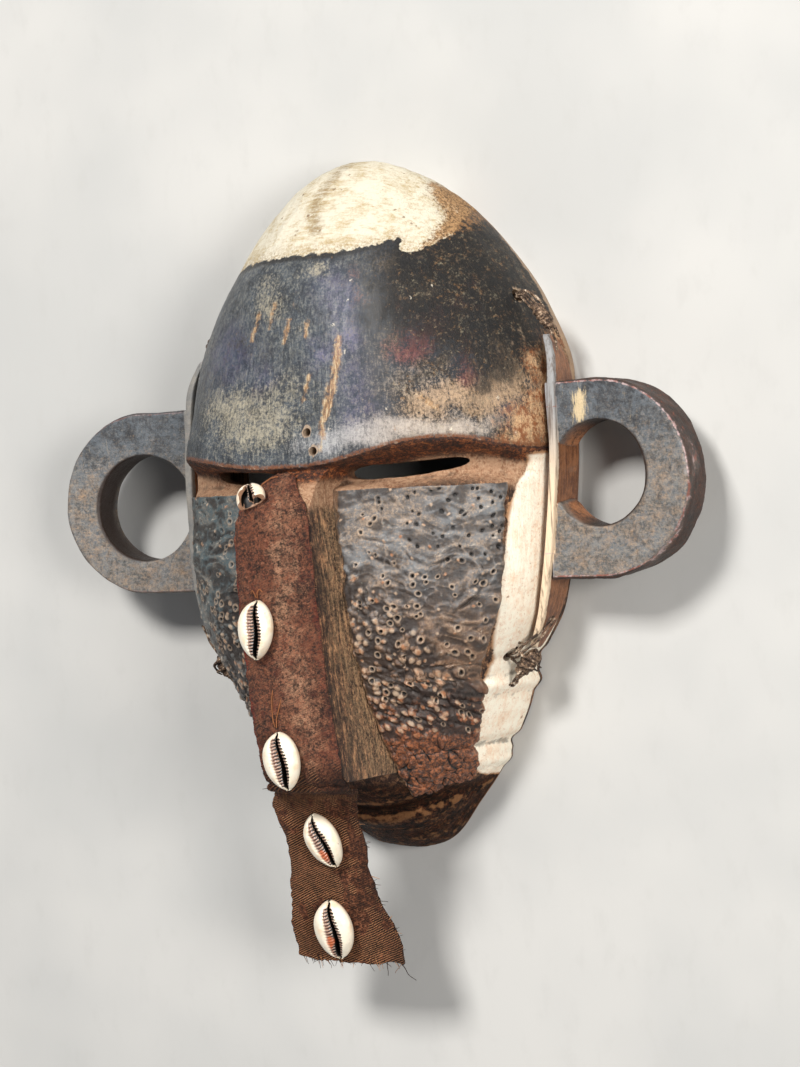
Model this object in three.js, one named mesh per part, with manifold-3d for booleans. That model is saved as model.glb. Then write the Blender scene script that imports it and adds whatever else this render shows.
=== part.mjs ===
// A carved wooden mask with ring ears tied to its sides, thin punched skin on the cheeks, and a strip of
// cloth down the nose with cowrie shells sewn to it.
// Millimetres. The mask lies on its flat back rim: +X is the viewer's right, +Y the top of the head and
// +Z points out of the face. The shapes are set out around the middle of the face, and the whole group
// is then moved so that the origin is under the middle of the finished mask.
import * as THREE from 'three';
import { mergeVertices } from 'three/addons/utils/BufferGeometryUtils.js';
import Module from 'manifold-3d';

const wasm = await Module();
wasm.setup();

// Head. Each list gives a size at a few places along Y, joined by a smooth curve.
const CHIN_Y = -140.5;
const CROWN_Y = 140.5;
const HALF_WIDTH = [[CHIN_Y, 0], [-138.5, 12], [-134, 20.5], [-122, 32], [-106, 45.5], [-88, 56], [-66, 65.5],
  [-40, 76], [-10, 80], [25, 81.5], [52, 81], [80, 71.5], [104, 56.5], [122, 42], [133, 28], [138.5, 13],
  [CROWN_Y, 0]];
const SKEW = [[CHIN_Y, 0], [-118, -3], [-95, -4.2], [-60, -4], [-20, -2], [30, 0], [CROWN_Y, -1]];
const CHEEK_HEIGHT = [[CHIN_Y, 0], [-138, 11], [-134, 19], [-122, 33], [-110, 43], [-99, 50], [-80, 57.5],
  [-66, 62], [-50, 65.5], [-30, 67], [0, 65.5], [30, 64]];
const FOREHEAD_HEIGHT = [[0, 75.5], [25, 74.5], [52, 71], [80, 66], [104, 57], [122, 45], [133, 34],
  [138.5, 22], [CROWN_Y, 0]];
const SQUARENESS = [[CHIN_Y, 2], [-95, 2.15], [-60, 2.6], [-25, 3], [15, 3], [40, 2.55], [60, 2.35], [90, 2.3],
  [CROWN_Y, 2.1]];
const CROWN_LIFT = 8;
const CROWN_DROP = 0.6;
const CROWN_LIFT_FROM = 88;
const CROWN_LIFT_HEIGHT = 22;
const RIM_CHIPS = [[-62, 22, -2.2], [-60, 3.5, -1.5], [-71, 5, 2.4], [-95, 4, -2.4], [-103, 4, 1.6]];

// Brow and eyes. BROW_Y is the brow's lowest point, over the nose.
const BROW_Y = 18.5;
const BROW_FADE = 9.3;
const BROW_ARCH_RIGHT = 8.6;
const BROW_ARCH_LEFT = 6;
const UNDERSIDE = 4.3;
const EYE_FLOOR = 7.1;
const LID = 9.6;
const EYE_GROOVE = 6;
const SLIT_HALF_INNER = 3.1;
const SLIT_HALF_OUTER = 2.4;
const SLIT_RIGHT = { inner: [7.6, 15.2], outer: [57.4, 18], sag: -0.8 };
const SLIT_LEFT = { inner: [-18, 14.2], outer: [-56, 17], sag: -0.6 };
const DRILLED_HOLES = [[-1, 32], [1.8, 24.6]];
const DRILL_RADIUS = 1.7;

// Nose. It leans a little and stands well clear of the cheeks.
const NOSE_SHARE = 0.28;
const NOSE_CENTRE = [[-140, 0], [-122, -2], [-102, -3.5], [-79, -6.4], [-59, -8.8], [-32, -11], [0, -12.6],
  [10, -9.5], [18, -4], [40, -1], [100, 0]];
const NOSE_HALF = [[-140, 14], [-102, 19.2], [-60, 19.2], [-30, 19], [0, 17.4], [18, 12], [60, 16], [140, 16]];
const NOSE_CREST = [[-104, 82], [-101, 85.5], [-92, 87], [-40, 86.5], [-12, 85.5], [0, 83.5], [8, 80], [18, 73]];
const NOSE_TIP_Y = -103.2;
const NOSE_TIP_FACE = 1.3;
const NOSE_FLAT = 0.9;
const NOSE_CROWN = 2;

// Mouth and chin.
const MOUTH_Y = -121;
const MOUTH_CURVE = 0.01;
const MOUTH_REACH = 18;
const GROOVE_DEPTH = 4.5;
const GROOVE_HALF = 3.4;
const LIP_DROP = 5.2;
const LIP_RISE = 1.8;

// Wall and ties.
const WALL = 8.5;
const CAVITY_HEIGHT = [[-130, 0], [-124, 14], [-110, 29], [-95, 38], [-75, 45], [-50, 51], [-10, 53], [20, 52.5],
  [45, 61], [70, 58], [95, 48], [115, 33], [126, 17], [130, 0]];
const TIE_HOLE_RADIUS = 2.6;
const TIE_HOLES = [[68.5, 82, 22], [60, -59, 27], [-69.5, 82, 10], [-67.5, -59, 27]];

// Ears: a slat against the side of the head, with a ring that stands out from it.
const SLAT_THICK = 3.6;
const SLAT_TOP_Y = 66;
const SLAT_BOTTOM_Y = -57;
const SLAT_MID_Z = 19.5;
const SLAT_HALF_DEPTH = 11.5;
const SLAT_GAP = 0.5;
const RING_DEPTH = 17;
const RING_FRONT_Z = 29;
const RING_BEVEL = 1.2;
const RING_SWEEP = THREE.MathUtils.degToRad(5);
const EAR_RIGHT = { side: 1, reach: 19.5, centreY: 8.8, outer: 38.4, holeY: 10.8, hole: 20.4 };
const EAR_LEFT = { side: -1, reach: 22.6, centreY: 7.4, outer: 38.2, holeY: 5.4, hole: 22.3 };

// Skin on the cheeks and cloth on the nose.
const SKIN_GAP = 0.35;
const SKIN_TOP = 1.4;
const CLOTH_GAP = 0.4;
const CLOTH_TOP = 1.9;
const TAIL = [
  { y: -105.4, z: 82, x: -3, half: 17.6 }, { y: -106.6, z: 75, x: -4.5, half: 17 },
  { y: -109.5, z: 69, x: -7, half: 16.4 }, { y: -116, z: 65, x: -9.6, half: 16.6 },
  { y: -126, z: 61.5, x: -9.2, half: 17.4 }, { y: -137, z: 58, x: -9.4, half: 17.6 },
  { y: -149, z: 54, x: -10.4, half: 19 }, { y: -160, z: 50.4, x: -9.8, half: 21.4 },
  { y: -171, z: 47, x: -9.4, half: 23.6 }, { y: -180.5, z: 44, x: -9.8, half: 24 }];
const CLOTH_NARROWING = 0.43;

// Cowries: length, width and height of a whole shell, and where each lies.
const COWRIE = { length: 24.5, width: 15.6, height: 7.2 };
const COWRIES = [
  { name: 'cowrie_2', x: -17.8, y: -43.5, turn: -4 }, { name: 'cowrie_3', x: -8.7, y: -94, turn: 6 },
  { name: 'cowrie_4', x: -7.2, y: -128, turn: 16 }, { name: 'cowrie_5', x: -11.3, y: -165.5, turn: 0 }];
const BROKEN = { length: 14.4, width: 11.8, height: 6.2, x: -20.4, y: 5.8, turn: 14 };
const BROKEN_WALL = 1.8;
const BROKEN_BASE = 0.5;
const BROKEN_TOP = 2.2;
const BROKEN_END_Y = -1.6;
const BROKEN_END_TILT = 0.2;
const COWRIE_GAP = 0.8;

// Middle of the finished mask's outline, moved to the origin.
const MIDDLE_X = -1.9;
const MIDDLE_Y = -20;

/** Smooth step from 0 at a to 1 at b. */
function smooth(a, b, value) {
  const t = THREE.MathUtils.clamp((value - a) / (b - a), 0, 1);
  return t * t * (3 - 2 * t);
}

/** A bell of height 1 and the given half width. */
function bell(value, half) {
  return Math.abs(value) < half ? Math.cos((Math.PI * value) / (2 * half)) ** 2 : 0;
}

/** Value of a smooth curve through [place, value] pairs that never overshoots them. */
function along(pairs, place) {
  const last = pairs.length - 1;
  if (place <= pairs[0][0]) return pairs[0][1];
  if (place >= pairs[last][0]) return pairs[last][1];
  const slope = (i) => (pairs[i + 1][1] - pairs[i][1]) / (pairs[i + 1][0] - pairs[i][0]);
  const tangent = (i) => {
    if (i === 0) return slope(0);
    if (i === last) return slope(last - 1);
    const product = slope(i - 1) * slope(i);
    return product > 0 ? (2 * product) / (slope(i - 1) + slope(i)) : 0;
  };
  const k = pairs.findIndex((pair, i) => place >= pair[0] && place < pairs[i + 1][0]);
  const span = pairs[k + 1][0] - pairs[k][0];
  const t = (place - pairs[k][0]) / span;
  const start = (1 + 2 * t) * (1 - t) ** 2 * pairs[k][1] + t * (1 - t) ** 2 * span * tangent(k);
  return start + t * t * (3 - 2 * t) * pairs[k + 1][1] - t * t * (1 - t) * span * tangent(k + 1);
}

/** Rows of values from zones of [start, end, steps] that follow one another. */
function zones(list) {
  const values = [list[0][0]];
  for (const [from, to, steps] of list) {
    for (let i = 1; i <= steps; i++) values.push(from + ((to - from) * i) / steps);
  }
  return values;
}

/** A BufferGeometry from points and triangles. */
function geometryOf(points, triangles) {
  const geometry = new THREE.BufferGeometry();
  geometry.setAttribute('position', new THREE.Float32BufferAttribute(points.flat(), 3));
  geometry.setIndex(triangles.flat());
  return geometry;
}

/** A closed body from rings of equal count; a ring of one point is a pole, other ends are closed by a strip. */
function loft(rings) {
  const points = [];
  const triangles = [];
  const starts = rings.map((ring) => points.push(...ring) - ring.length);
  const join = (a, b) => {
    const count = Math.max(rings[a].length, rings[b].length);
    for (let i = 0; i < count; i++) {
      const next = (i + 1) % count;
      const [a0, a1] = rings[a].length === 1 ? [starts[a], starts[a]] : [starts[a] + i, starts[a] + next];
      const [b0, b1] = rings[b].length === 1 ? [starts[b], starts[b]] : [starts[b] + i, starts[b] + next];
      if (a0 !== a1) triangles.push([a0, a1, b0]);
      if (b0 !== b1) triangles.push([a1, b1, b0]);
    }
  };
  for (let i = 0; i + 1 < rings.length; i++) join(i, i + 1);
  const close = (at, flip) => {
    const corner = (i) => starts[at] + i;
    const add = (a, b, c) => triangles.push(flip ? [b, a, c].map(corner) : [a, b, c].map(corner));
    for (let near = 0, far = rings[at].length - 1; near + 1 < far; near++, far--) {
      add(near, near + 1, far);
      if (near + 1 < far - 1) add(near + 1, far - 1, far);
    }
  };
  close(0, true);
  close(rings.length - 1, false);
  return geometryOf(points, triangles);
}

/** Manifold solid from a closed geometry; an inside-out one is turned. */
function solid(geometry) {
  const bare = geometry.clone();
  bare.deleteAttribute('normal');
  bare.deleteAttribute('uv');
  const merged = mergeVertices(bare, 1e-4);
  const index = Uint32Array.from(merged.index.array);
  const position = merged.attributes.position.array;
  let volume = 0;
  const corner = (i) => new THREE.Vector3().fromArray(position, index[i] * 3);
  for (let i = 0; i < index.length; i += 3) volume += corner(i).dot(corner(i + 1).cross(corner(i + 2)));
  if (volume < 0) {
    for (let i = 0; i < index.length; i += 3) [index[i], index[i + 1]] = [index[i + 1], index[i]];
  }
  return new wasm.Manifold(new wasm.Mesh({ numProp: 3, vertProperties: position, triVerts: index }));
}

/** Geometry of a manifold solid. */
function geometryFrom(body) {
  const mesh = body.getMesh();
  const geometry = new THREE.BufferGeometry();
  geometry.setAttribute('position', new THREE.BufferAttribute(Float32Array.from(mesh.vertProperties), 3));
  geometry.setIndex(new THREE.BufferAttribute(Uint32Array.from(mesh.triVerts), 1));
  return geometry;
}

/** How far the brow's edge rises over its lowest point at x. */
function browArch(x) {
  if (x < 0) return BROW_ARCH_LEFT * smooth(20, 74, -x);
  return BROW_ARCH_RIGHT * smooth(-4, 50, x) * (1 - 0.6 * smooth(56, 82, x));
}

/** How much of the brow's arch a row takes: all at the brow, none on the cheek or high on the forehead. */
function browBend(row) {
  if (row < BROW_Y) return Math.max(0, 1 - (BROW_Y - row) / BROW_FADE);
  return 1 - smooth(0, 55, row - BROW_Y);
}

/** How far the mouth's rows curve up at x. */
function mouthBend(row, x) {
  return MOUTH_CURVE * x * x * (1 - smooth(0, MOUTH_REACH, Math.abs(row - MOUTH_Y)));
}

/** Centre, from the middle of the head, and half width of the nose's foot on a row. */
function noseFoot(row) {
  const width = along(HALF_WIDTH, row);
  const half = Math.min(along(NOSE_HALF, row), 0.5 * width);
  return { centre: (along(NOSE_CENTRE, row) - along(SKEW, row)) * smooth(0, 40, width), half };
}

/** Half width of the rim at y, with the chips of its lower right edge. */
function rimHalfWidth(y, side) {
  const chips = side > 0 ? RIM_CHIPS.reduce((sum, [at, half, depth]) => sum + depth * bell(y - at, half), 0) : 0;
  return along(HALF_WIDTH, y) + chips;
}

/** Lifts the crown forward, so that its peak stands over the rim. */
function liftCrown(y, z) {
  const share = smooth(CROWN_LIFT_FROM, CROWN_Y + 20, y) / smooth(CROWN_LIFT_FROM, CROWN_Y + 20, CROWN_Y);
  return y + CROWN_LIFT * share * (Math.min(1, z / CROWN_LIFT_HEIGHT) ** 0.8 - CROWN_DROP);
}

/** One point of the face: row runs from chin to crown, place from -1 at the left rim to 1 at the right. */
function facePoint(row, place) {
  const side = Math.sign(place) || 1;
  const square = along(SQUARENESS, row);
  const width = Math.max(along(HALF_WIDTH, row), 1e-3);
  const foot = noseFoot(row);
  const onNose = Math.abs(place) <= NOSE_SHARE + 1e-9;
  const u = place / NOSE_SHARE;
  let ratio;
  let rise;
  if (onNose) {
    ratio = (foot.centre + foot.half * u) / width;
    rise = (1 - Math.abs(ratio) ** square) ** (1 / square);
  } else {
    const footRatio = Math.abs(foot.centre + side * foot.half) / width;
    const angle = ((1 - Math.abs(place)) / (1 - NOSE_SHARE)) * Math.acos(footRatio ** (square / 2));
    ratio = side * Math.cos(angle) ** (2 / square);
    rise = Math.sin(angle) ** (2 / square);
  }
  const flatX = ratio * width;
  const y = row + browArch(flatX) * browBend(row) + mouthBend(row, flatX);
  const rim = Math.abs(ratio) > 0.5 ? rimHalfWidth(y, side) : along(HALF_WIDTH, y);
  const x = ratio * Math.max(rim, 1e-3) + along(SKEW, y);
  const below = BROW_Y - row;
  const height = THREE.MathUtils.lerp(along(FOREHEAD_HEIGHT, y), along(CHEEK_HEIGHT, y), smooth(0, UNDERSIDE, below));
  let z = rise * height;
  const eye = smooth(0, UNDERSIDE, below) * (1 - smooth(EYE_FLOOR, LID, below));
  const eyeReach = (1 - smooth(66, 80, Math.abs(x))) * (onNose ? smooth(0.5, 1, Math.abs(u)) : 1);
  z -= EYE_GROOVE * eye * eyeReach * smooth(0, 20, z);
  z -= GROOVE_DEPTH * bell(row - MOUTH_Y, GROOVE_HALF) * smooth(4, 20, z);
  z += LIP_RISE * bell(row - (MOUTH_Y - LIP_DROP), GROOVE_HALF) * smooth(4, 20, z);
  if (onNose && row < BROW_Y) {
    const crest = along(NOSE_CREST, row) - NOSE_CROWN * u * u;
    const front = 1 - smooth(NOSE_FLAT, 1, Math.abs(u));
    const length = smooth(0, 3, below) * smooth(NOSE_TIP_Y - NOSE_TIP_FACE, NOSE_TIP_Y, row);
    z += (crest - z) * front * length;
  }
  return [x, liftCrown(y, z), Math.max(z, 0)];
}

const SKIN_START = NOSE_SHARE + 0.004;
const NOSE_PLACES = [-1, -NOSE_FLAT, -0.5, 0, 0.5, NOSE_FLAT, 1].map((u) => u * NOSE_SHARE);
const RIGHT_PLACES = zones([[NOSE_SHARE, SKIN_START, 1], [SKIN_START, 0.62, 4], [0.62, 0.9, 4],
  [0.9, 1, 2]]).slice(1);
const PLACES = [...RIGHT_PLACES.map((p) => -p).reverse(), ...NOSE_PLACES, ...RIGHT_PLACES];
const ROWS = zones([[CHIN_Y, -138.5, 1], [-138.5, -130, 3], [-130, MOUTH_Y, 5], [MOUTH_Y, -117.6, 2],
  [-117.6, NOSE_TIP_Y - NOSE_TIP_FACE, 3], [NOSE_TIP_Y - NOSE_TIP_FACE, NOSE_TIP_Y, 1], [NOSE_TIP_Y, -99, 1],
  [-99, 0, 11], [0, BROW_Y - LID, 2], [BROW_Y - LID, BROW_Y - EYE_FLOOR, 2],
  [BROW_Y - EYE_FLOOR, BROW_Y - UNDERSIDE, 2], [BROW_Y - UNDERSIDE, BROW_Y, 4], [BROW_Y, 30, 2], [30, 110, 8],
  [110, 134, 4], [134, CROWN_Y, 3]]);

/** The face as one closed block, flat at the back. */
function faceBlock() {
  const rings = ROWS.slice(1, -1).map((row) => PLACES.map((place) => facePoint(row, place)));
  const chin = [facePoint(CHIN_Y, 0)];
  const crown = [facePoint(CROWN_Y, 0)];
  return loft([chin, ...rings, crown]);
}

/** The hollow behind the face, as one closed block that runs out past the rim. */
function hollowBlock() {
  const rings = zones([[-129, -100, 4], [-100, 110, 10], [110, 129, 3]]).map((y) => {
    const width = Math.max(along(HALF_WIDTH, y) - WALL, 2);
    const height = Math.max(along(CAVITY_HEIGHT, y), 2);
    const power = 2 / along(SQUARENESS, y);
    const ring = zones([[0, Math.PI, 14]]).map((angle) => [
      width * Math.sign(Math.cos(angle)) * Math.abs(Math.cos(angle)) ** power, y, height * Math.sin(angle) ** power]);
    return [...ring, [-width, y, -WALL], [width, y, -WALL]].map(([x, , z]) => [x + along(SKEW, y), y, z]);
  });
  return loft(rings);
}

/** A cutter for one eye slit, blunt at both ends and drawn between them. */
function slitCutter({ inner, outer, sag }) {
  const shape = new THREE.Shape();
  const edge = (side) => (t) => {
    const middle = inner[1] + (outer[1] - inner[1]) * t + sag * Math.sin(Math.PI * t);
    const half = THREE.MathUtils.lerp(SLIT_HALF_INNER, SLIT_HALF_OUTER, t) * (1 - Math.abs(2 * t - 1) ** 5) ** 0.5;
    return [inner[0] + (outer[0] - inner[0]) * t, middle + side * half];
  };
  const steps = zones([[0, 0.1, 2], [0.1, 0.9, 6], [0.9, 1, 2]]);
  const upper = steps.map(edge(1));
  const lower = steps.slice(1, -1).reverse().map(edge(-1));
  shape.setFromPoints([...upper, ...lower].map(([x, y]) => new THREE.Vector2(x, y)));
  return new THREE.ExtrudeGeometry(shape, { depth: 70, bevelEnabled: false, steps: 1 }).translate(0, 0, 30);
}

/** A round cutter of the given radius from one point to another. */
function drill(from, to, radius) {
  const start = new THREE.Vector3(...from);
  const end = new THREE.Vector3(...to);
  const geometry = new THREE.CylinderGeometry(radius, radius, start.distanceTo(end), 8);
  const turn = new THREE.Quaternion().setFromUnitVectors(new THREE.Vector3(0, 1, 0), end.clone().sub(start).normalize());
  const middle = start.add(end).multiplyScalar(0.5);
  return geometry.applyQuaternion(turn).translate(middle.x, middle.y, middle.z);
}

/** Cutter for a tie's hole, from outside the wall to inside it. */
function tieHole([x, y, z]) {
  const side = Math.sign(x);
  return drill([x + side * 12, y, z + 2], [x - side * 16, y, z - 2], TIE_HOLE_RADIUS);
}

/** The hollow face with its eye slits and holes. */
function faceShell() {
  let body = solid(faceBlock()).subtract(solid(hollowBlock()));
  const cutters = [slitCutter(SLIT_RIGHT), slitCutter(SLIT_LEFT)];
  for (const [x, y] of DRILLED_HOLES) cutters.push(drill([x, y, 40], [x, y, 90], DRILL_RADIUS));
  for (const place of TIE_HOLES) cutters.push(tieHole(place));
  for (const cutter of cutters) body = body.subtract(solid(cutter));
  return geometryFrom(body);
}

/** How far out one side of the head reaches at y, on the height of the slat's back edge. */
function headSide(y, side) {
  const square = along(SQUARENESS, y);
  const rise = (SLAT_MID_Z - SLAT_HALF_DEPTH) / along(CHEEK_HEIGHT, y);
  return along(HALF_WIDTH, y) * (1 - rise ** square) ** (1 / square) + side * along(SKEW, y);
}

/** A slat: a thin plank that follows the side of the head and narrows to its ends. */
function slat(side) {
  const rings = zones([[SLAT_BOTTOM_Y, SLAT_TOP_Y, 14]]).map((y) => {
    const t = (2 * (y - SLAT_BOTTOM_Y)) / (SLAT_TOP_Y - SLAT_BOTTOM_Y) - 1;
    const depth = SLAT_HALF_DEPTH * (1 - 0.72 * Math.abs(t) ** 4);
    const thick = SLAT_THICK * (1 - 0.35 * Math.abs(t) ** 6);
    const near = headSide(y, side) + SLAT_GAP;
    return [[near, SLAT_MID_Z - depth], [near + thick, SLAT_MID_Z - depth], [near + thick, SLAT_MID_Z + depth],
      [near, SLAT_MID_Z + depth]].map(([x, z]) => [side * x, y, z]);
  });
  return loft(rings);
}

/** A ring ear: a thick plate bent round an open hole, its two arms against the slat. */
function ringPlate({ side, reach, centreY, outer, holeY, hole }) {
  const inside = hole + RING_BEVEL;
  const rim = outer - RING_BEVEL;
  const opening = Math.acos(-reach / inside);
  const shape = new THREE.Shape();
  shape.moveTo(0, centreY - rim);
  shape.lineTo(reach, centreY - rim);
  shape.absarc(reach, centreY, rim, -Math.PI / 2, Math.PI / 2, false);
  shape.lineTo(0, centreY + rim);
  shape.absarc(reach, holeY, inside, opening, -opening, true);
  shape.closePath();
  const geometry = new THREE.ExtrudeGeometry(shape, { depth: RING_DEPTH - 2 * RING_BEVEL, steps: 1,
    curveSegments: 13, bevelEnabled: true, bevelThickness: RING_BEVEL, bevelSize: RING_BEVEL, bevelSegments: 1 });
  geometry.translate(0, 0, RING_FRONT_Z - RING_DEPTH + RING_BEVEL);
  if (side < 0) geometry.scale(-1, 1, 1);
  geometry.translate(0, 0, -SLAT_MID_Z).rotateY(-side * RING_SWEEP).translate(0, 0, SLAT_MID_Z);
  return geometry.translate(side * (headSide(centreY, side) + SLAT_GAP + SLAT_THICK - RING_BEVEL), 0, 0);
}

/** One ear: its ring plate joined to its slat. */
function ear(spec) {
  return geometryFrom(solid(slat(spec.side)).add(solid(ringPlate(spec))));
}

/** A thin closed sheet over a grid of points, crown side first, from one height over them to another. */
function sheet(grid, low, high) {
  const lastRow = grid.length - 1;
  const lastColumn = grid[0].length - 1;
  const { clamp } = THREE.MathUtils;
  const at = (i, j) => new THREE.Vector3(...grid[clamp(i, 0, lastRow)][clamp(j, 0, lastColumn)]);
  const layer = (height) => grid.map((line, i) => line.map((_, j) => {
    const down = at(i + 1, j).sub(at(i - 1, j));
    const across = at(i, j + 1).sub(at(i, j - 1));
    return at(i, j).addScaledVector(down.cross(across).normalize(), height).toArray();
  }));
  const top = layer(high);
  const bottom = layer(low);
  return geometryFrom(solid(loft(top.map((line, i) => [...line, ...bottom[i].slice().reverse()]))));
}

/** Thin skin over one cheek, from the foot of the nose to the corner of the face. */
function cheekSkin(side) {
  const rows = ROWS.filter((row) => row > MOUTH_Y + 2 && row < BROW_Y - LID + 1).reverse();
  const places = PLACES.filter((place) => side * place > NOSE_SHARE + 0.001 && side * place < 0.74);
  return sheet(rows.map((row) => places.map((place) => facePoint(row, place))), SKIN_GAP, SKIN_TOP);
}

/** Rows of the cloth's middle surface: over the nose, narrower at the brow, round its tip and out past it. */
function clothGrid() {
  const columns = NOSE_PLACES.slice(1, -1);
  const leftmost = columns[0];
  const narrowed = (place, row) => {
    const share = 1 - CLOTH_NARROWING * smooth(-6, 17, row) ** 2;
    return leftmost + (place - leftmost) * share;
  };
  const onNose = ROWS.filter((row) => row >= NOSE_TIP_Y && row < BROW_Y - 3)
    .map((row) => columns.map((place) => facePoint(row, narrowed(place, row)))).reverse();
  const tail = TAIL.map(({ x, y, z, half }) => columns.map((place) => {
    const u = place / NOSE_SHARE / NOSE_FLAT;
    return [x + half * u, y, z - NOSE_CROWN * u * u];
  }));
  return [...onNose, ...tail];
}

/** Height of the cloth's outer face over its middle line at y. */
function clothTop(y) {
  if (y > NOSE_TIP_Y) return along(NOSE_CREST, y) + CLOTH_TOP;
  const path = TAIL.map((point) => [point.y, point.z]).reverse();
  return along(path, y) + CLOTH_TOP;
}

/** Rings of a cowrie between its two poles: flat under, domed over, with the slot down the middle. */
function cowrieRings(length, width, height) {
  const section = [[-0.6, 0], [-0.94, 0.2], [-1, 0.45], [-0.82, 0.8], [-0.42, 1], [-0.13, 0.93], [0, 0.5],
    [0.13, 0.93], [0.42, 1], [0.82, 0.8], [1, 0.45], [0.94, 0.2], [0.6, 0]];
  const ring = (t) => {
    const swell = Math.max(0, 1 - Math.abs(t) ** 2.1) ** 0.62 * (1 + 0.1 * t);
    return section.map(([x, z]) => [(x * swell * width) / 2, (t * length) / 2,
      z * height * Math.max(swell, 0.25) ** 0.6]);
  };
  const pole = (end) => [[0, (end * length) / 2, 0.12 * height]];
  return [pole(-1), ...zones([[-0.97, -0.7, 2], [-0.7, 0.7, 6], [0.7, 0.97, 2]]).map(ring), pole(1)];
}

/** Places a shell on the cloth's face at x, y, turned about the face's normal. */
function onCloth(geometry, { x, y, turn }) {
  const step = 5;
  const slope = Math.atan2(clothTop(y + step) - clothTop(y - step), 2 * step);
  return geometry.rotateZ(THREE.MathUtils.degToRad(turn)).rotateX(slope)
    .translate(x, y, clothTop(y) + COWRIE_GAP);
}

/** The broken cowrie: its upper part only, open where it broke off. */
function brokenCowrie() {
  const { length, width, height } = BROKEN;
  const hollowed = cowrieRings(length - 2 * BROKEN_WALL, width - 2 * BROKEN_WALL, height - BROKEN_TOP);
  const whole = solid(loft(cowrieRings(length, width, height)));
  const inside = solid(loft(hollowed).translate(0, 0, BROKEN_BASE));
  const lost = new THREE.BoxGeometry(30, 30, 30, 1, 1, 1).translate(0, BROKEN_END_Y - 15, 0).rotateZ(BROKEN_END_TILT);
  return onCloth(geometryFrom(whole.subtract(inside).subtract(solid(lost))), BROKEN);
}

/** A tie of wound cord: a thick wound knot on a curved run, thin at both ends. */
function tie(points, knot) {
  const curve = new THREE.CatmullRomCurve3(points.map((p) => new THREE.Vector3(...p)));
  const steps = 16;
  const frames = curve.computeFrenetFrames(steps, false);
  const rings = zones([[0, 1, steps]]).map((t, i) => {
    const middle = curve.getPointAt(t);
    const turns = 0.5 + 0.5 * Math.cos((t - knot.at) * Math.PI * 2 * knot.turns);
    const radius = knot.thin + (knot.thick - knot.thin) * bell(t - knot.at, knot.half) ** 0.5 * (0.78 + 0.22 * turns);
    return zones([[0, 2 * Math.PI, 6]]).slice(0, -1).map((angle) => middle.clone()
      .addScaledVector(frames.normals[i], radius * Math.cos(angle))
      .addScaledVector(frames.binormals[i], radius * Math.sin(angle)).toArray());
  });
  return loft(rings);
}

/** The tie at a slat's top: out of the wall's hole, over the wall and down to the slat's end. */
function topTie([x, y, z]) {
  const side = Math.sign(x);
  const route = [[-2, 0, -0.4], [4.2, -0.2, 0.2], [8.4, -4.5, 0.8], [11.4, -10, 0.4], [13.2, -14.6, 0]];
  const points = route.map(([out, up, front]) => [x + side * out, y + up, z + front]);
  return tie(points, { at: 0.62, half: 0.34, turns: 5, thin: 1.5, thick: 3.1 });
}

/** The tie at a slat's bottom: a fuller knot over the wall's hole. */
function bottomTie([x, y, z]) {
  const side = Math.sign(x);
  const route = [[-1, 0, -0.2], [4.6, -1.4, 0.6], [7.6, -5.2, -1], [9.6, -4.2, -4.6], [12, 0.6, -7]];
  const points = route.map(([out, up, front]) => [x + side * out, y + up, z + front]);
  return tie(points, { at: 0.5, half: 0.44, turns: 4, thin: 1.5, thick: 4 });
}

/** A named mesh with its own material. */
function part(name, geometry, color, roughness) {
  const material = new THREE.MeshStandardMaterial({ color, roughness, metalness: 0 });
  const mesh = new THREE.Mesh(geometry, material);
  mesh.name = name;
  return mesh;
}

const mask = new THREE.Group();
mask.add(part('face_shell', faceShell(), 0x3a3430, 0.55));
mask.add(part('ear_right', ear(EAR_RIGHT), 0x4a4844, 0.6));
mask.add(part('ear_left', ear(EAR_LEFT), 0x4a4844, 0.6));
mask.add(part('cheek_skin_right', cheekSkin(1), 0x3b3c3e, 0.5));
mask.add(part('cheek_skin_left', cheekSkin(-1), 0x33383c, 0.5));
mask.add(part('nose_cloth', sheet(clothGrid(), CLOTH_GAP, CLOTH_TOP), 0x5a3226, 0.9));
mask.add(part('cowrie_1', brokenCowrie(), 0xe8dcc4, 0.3));
for (const place of COWRIES) {
  const shell = loft(cowrieRings(COWRIE.length, COWRIE.width, COWRIE.height));
  mask.add(part(place.name, onCloth(shell, place), 0xe8dcc4, 0.3));
}
for (const [name, top, bottom] of [['right', TIE_HOLES[0], TIE_HOLES[1]], ['left', TIE_HOLES[2], TIE_HOLES[3]]]) {
  mask.add(part(`lashing_${name}_top`, topTie(top), 0x3c332b, 0.8));
  mask.add(part(`lashing_${name}_bottom`, bottomTie(bottom), 0x3c332b, 0.8));
}
mask.position.set(-MIDDLE_X, -MIDDLE_Y, 0);

export default mask;
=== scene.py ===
"""A carved wooden mask on its back rim, with ring ears, punched skin, a cloth strip and cowrie shells.

Sizes are millimetres from the middle of the face: +X is the viewer's right, +Y the top of the head and
+Z points out of the face. Each mesh is moved by MIDDLE and turned into metres when it is made.
"""
from __future__ import annotations

import itertools
import logging
import math
from collections.abc import Callable, Sequence
from dataclasses import dataclass, field
from enum import IntEnum

import bpy
import numpy as np
from mathutils import Matrix, Vector


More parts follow.
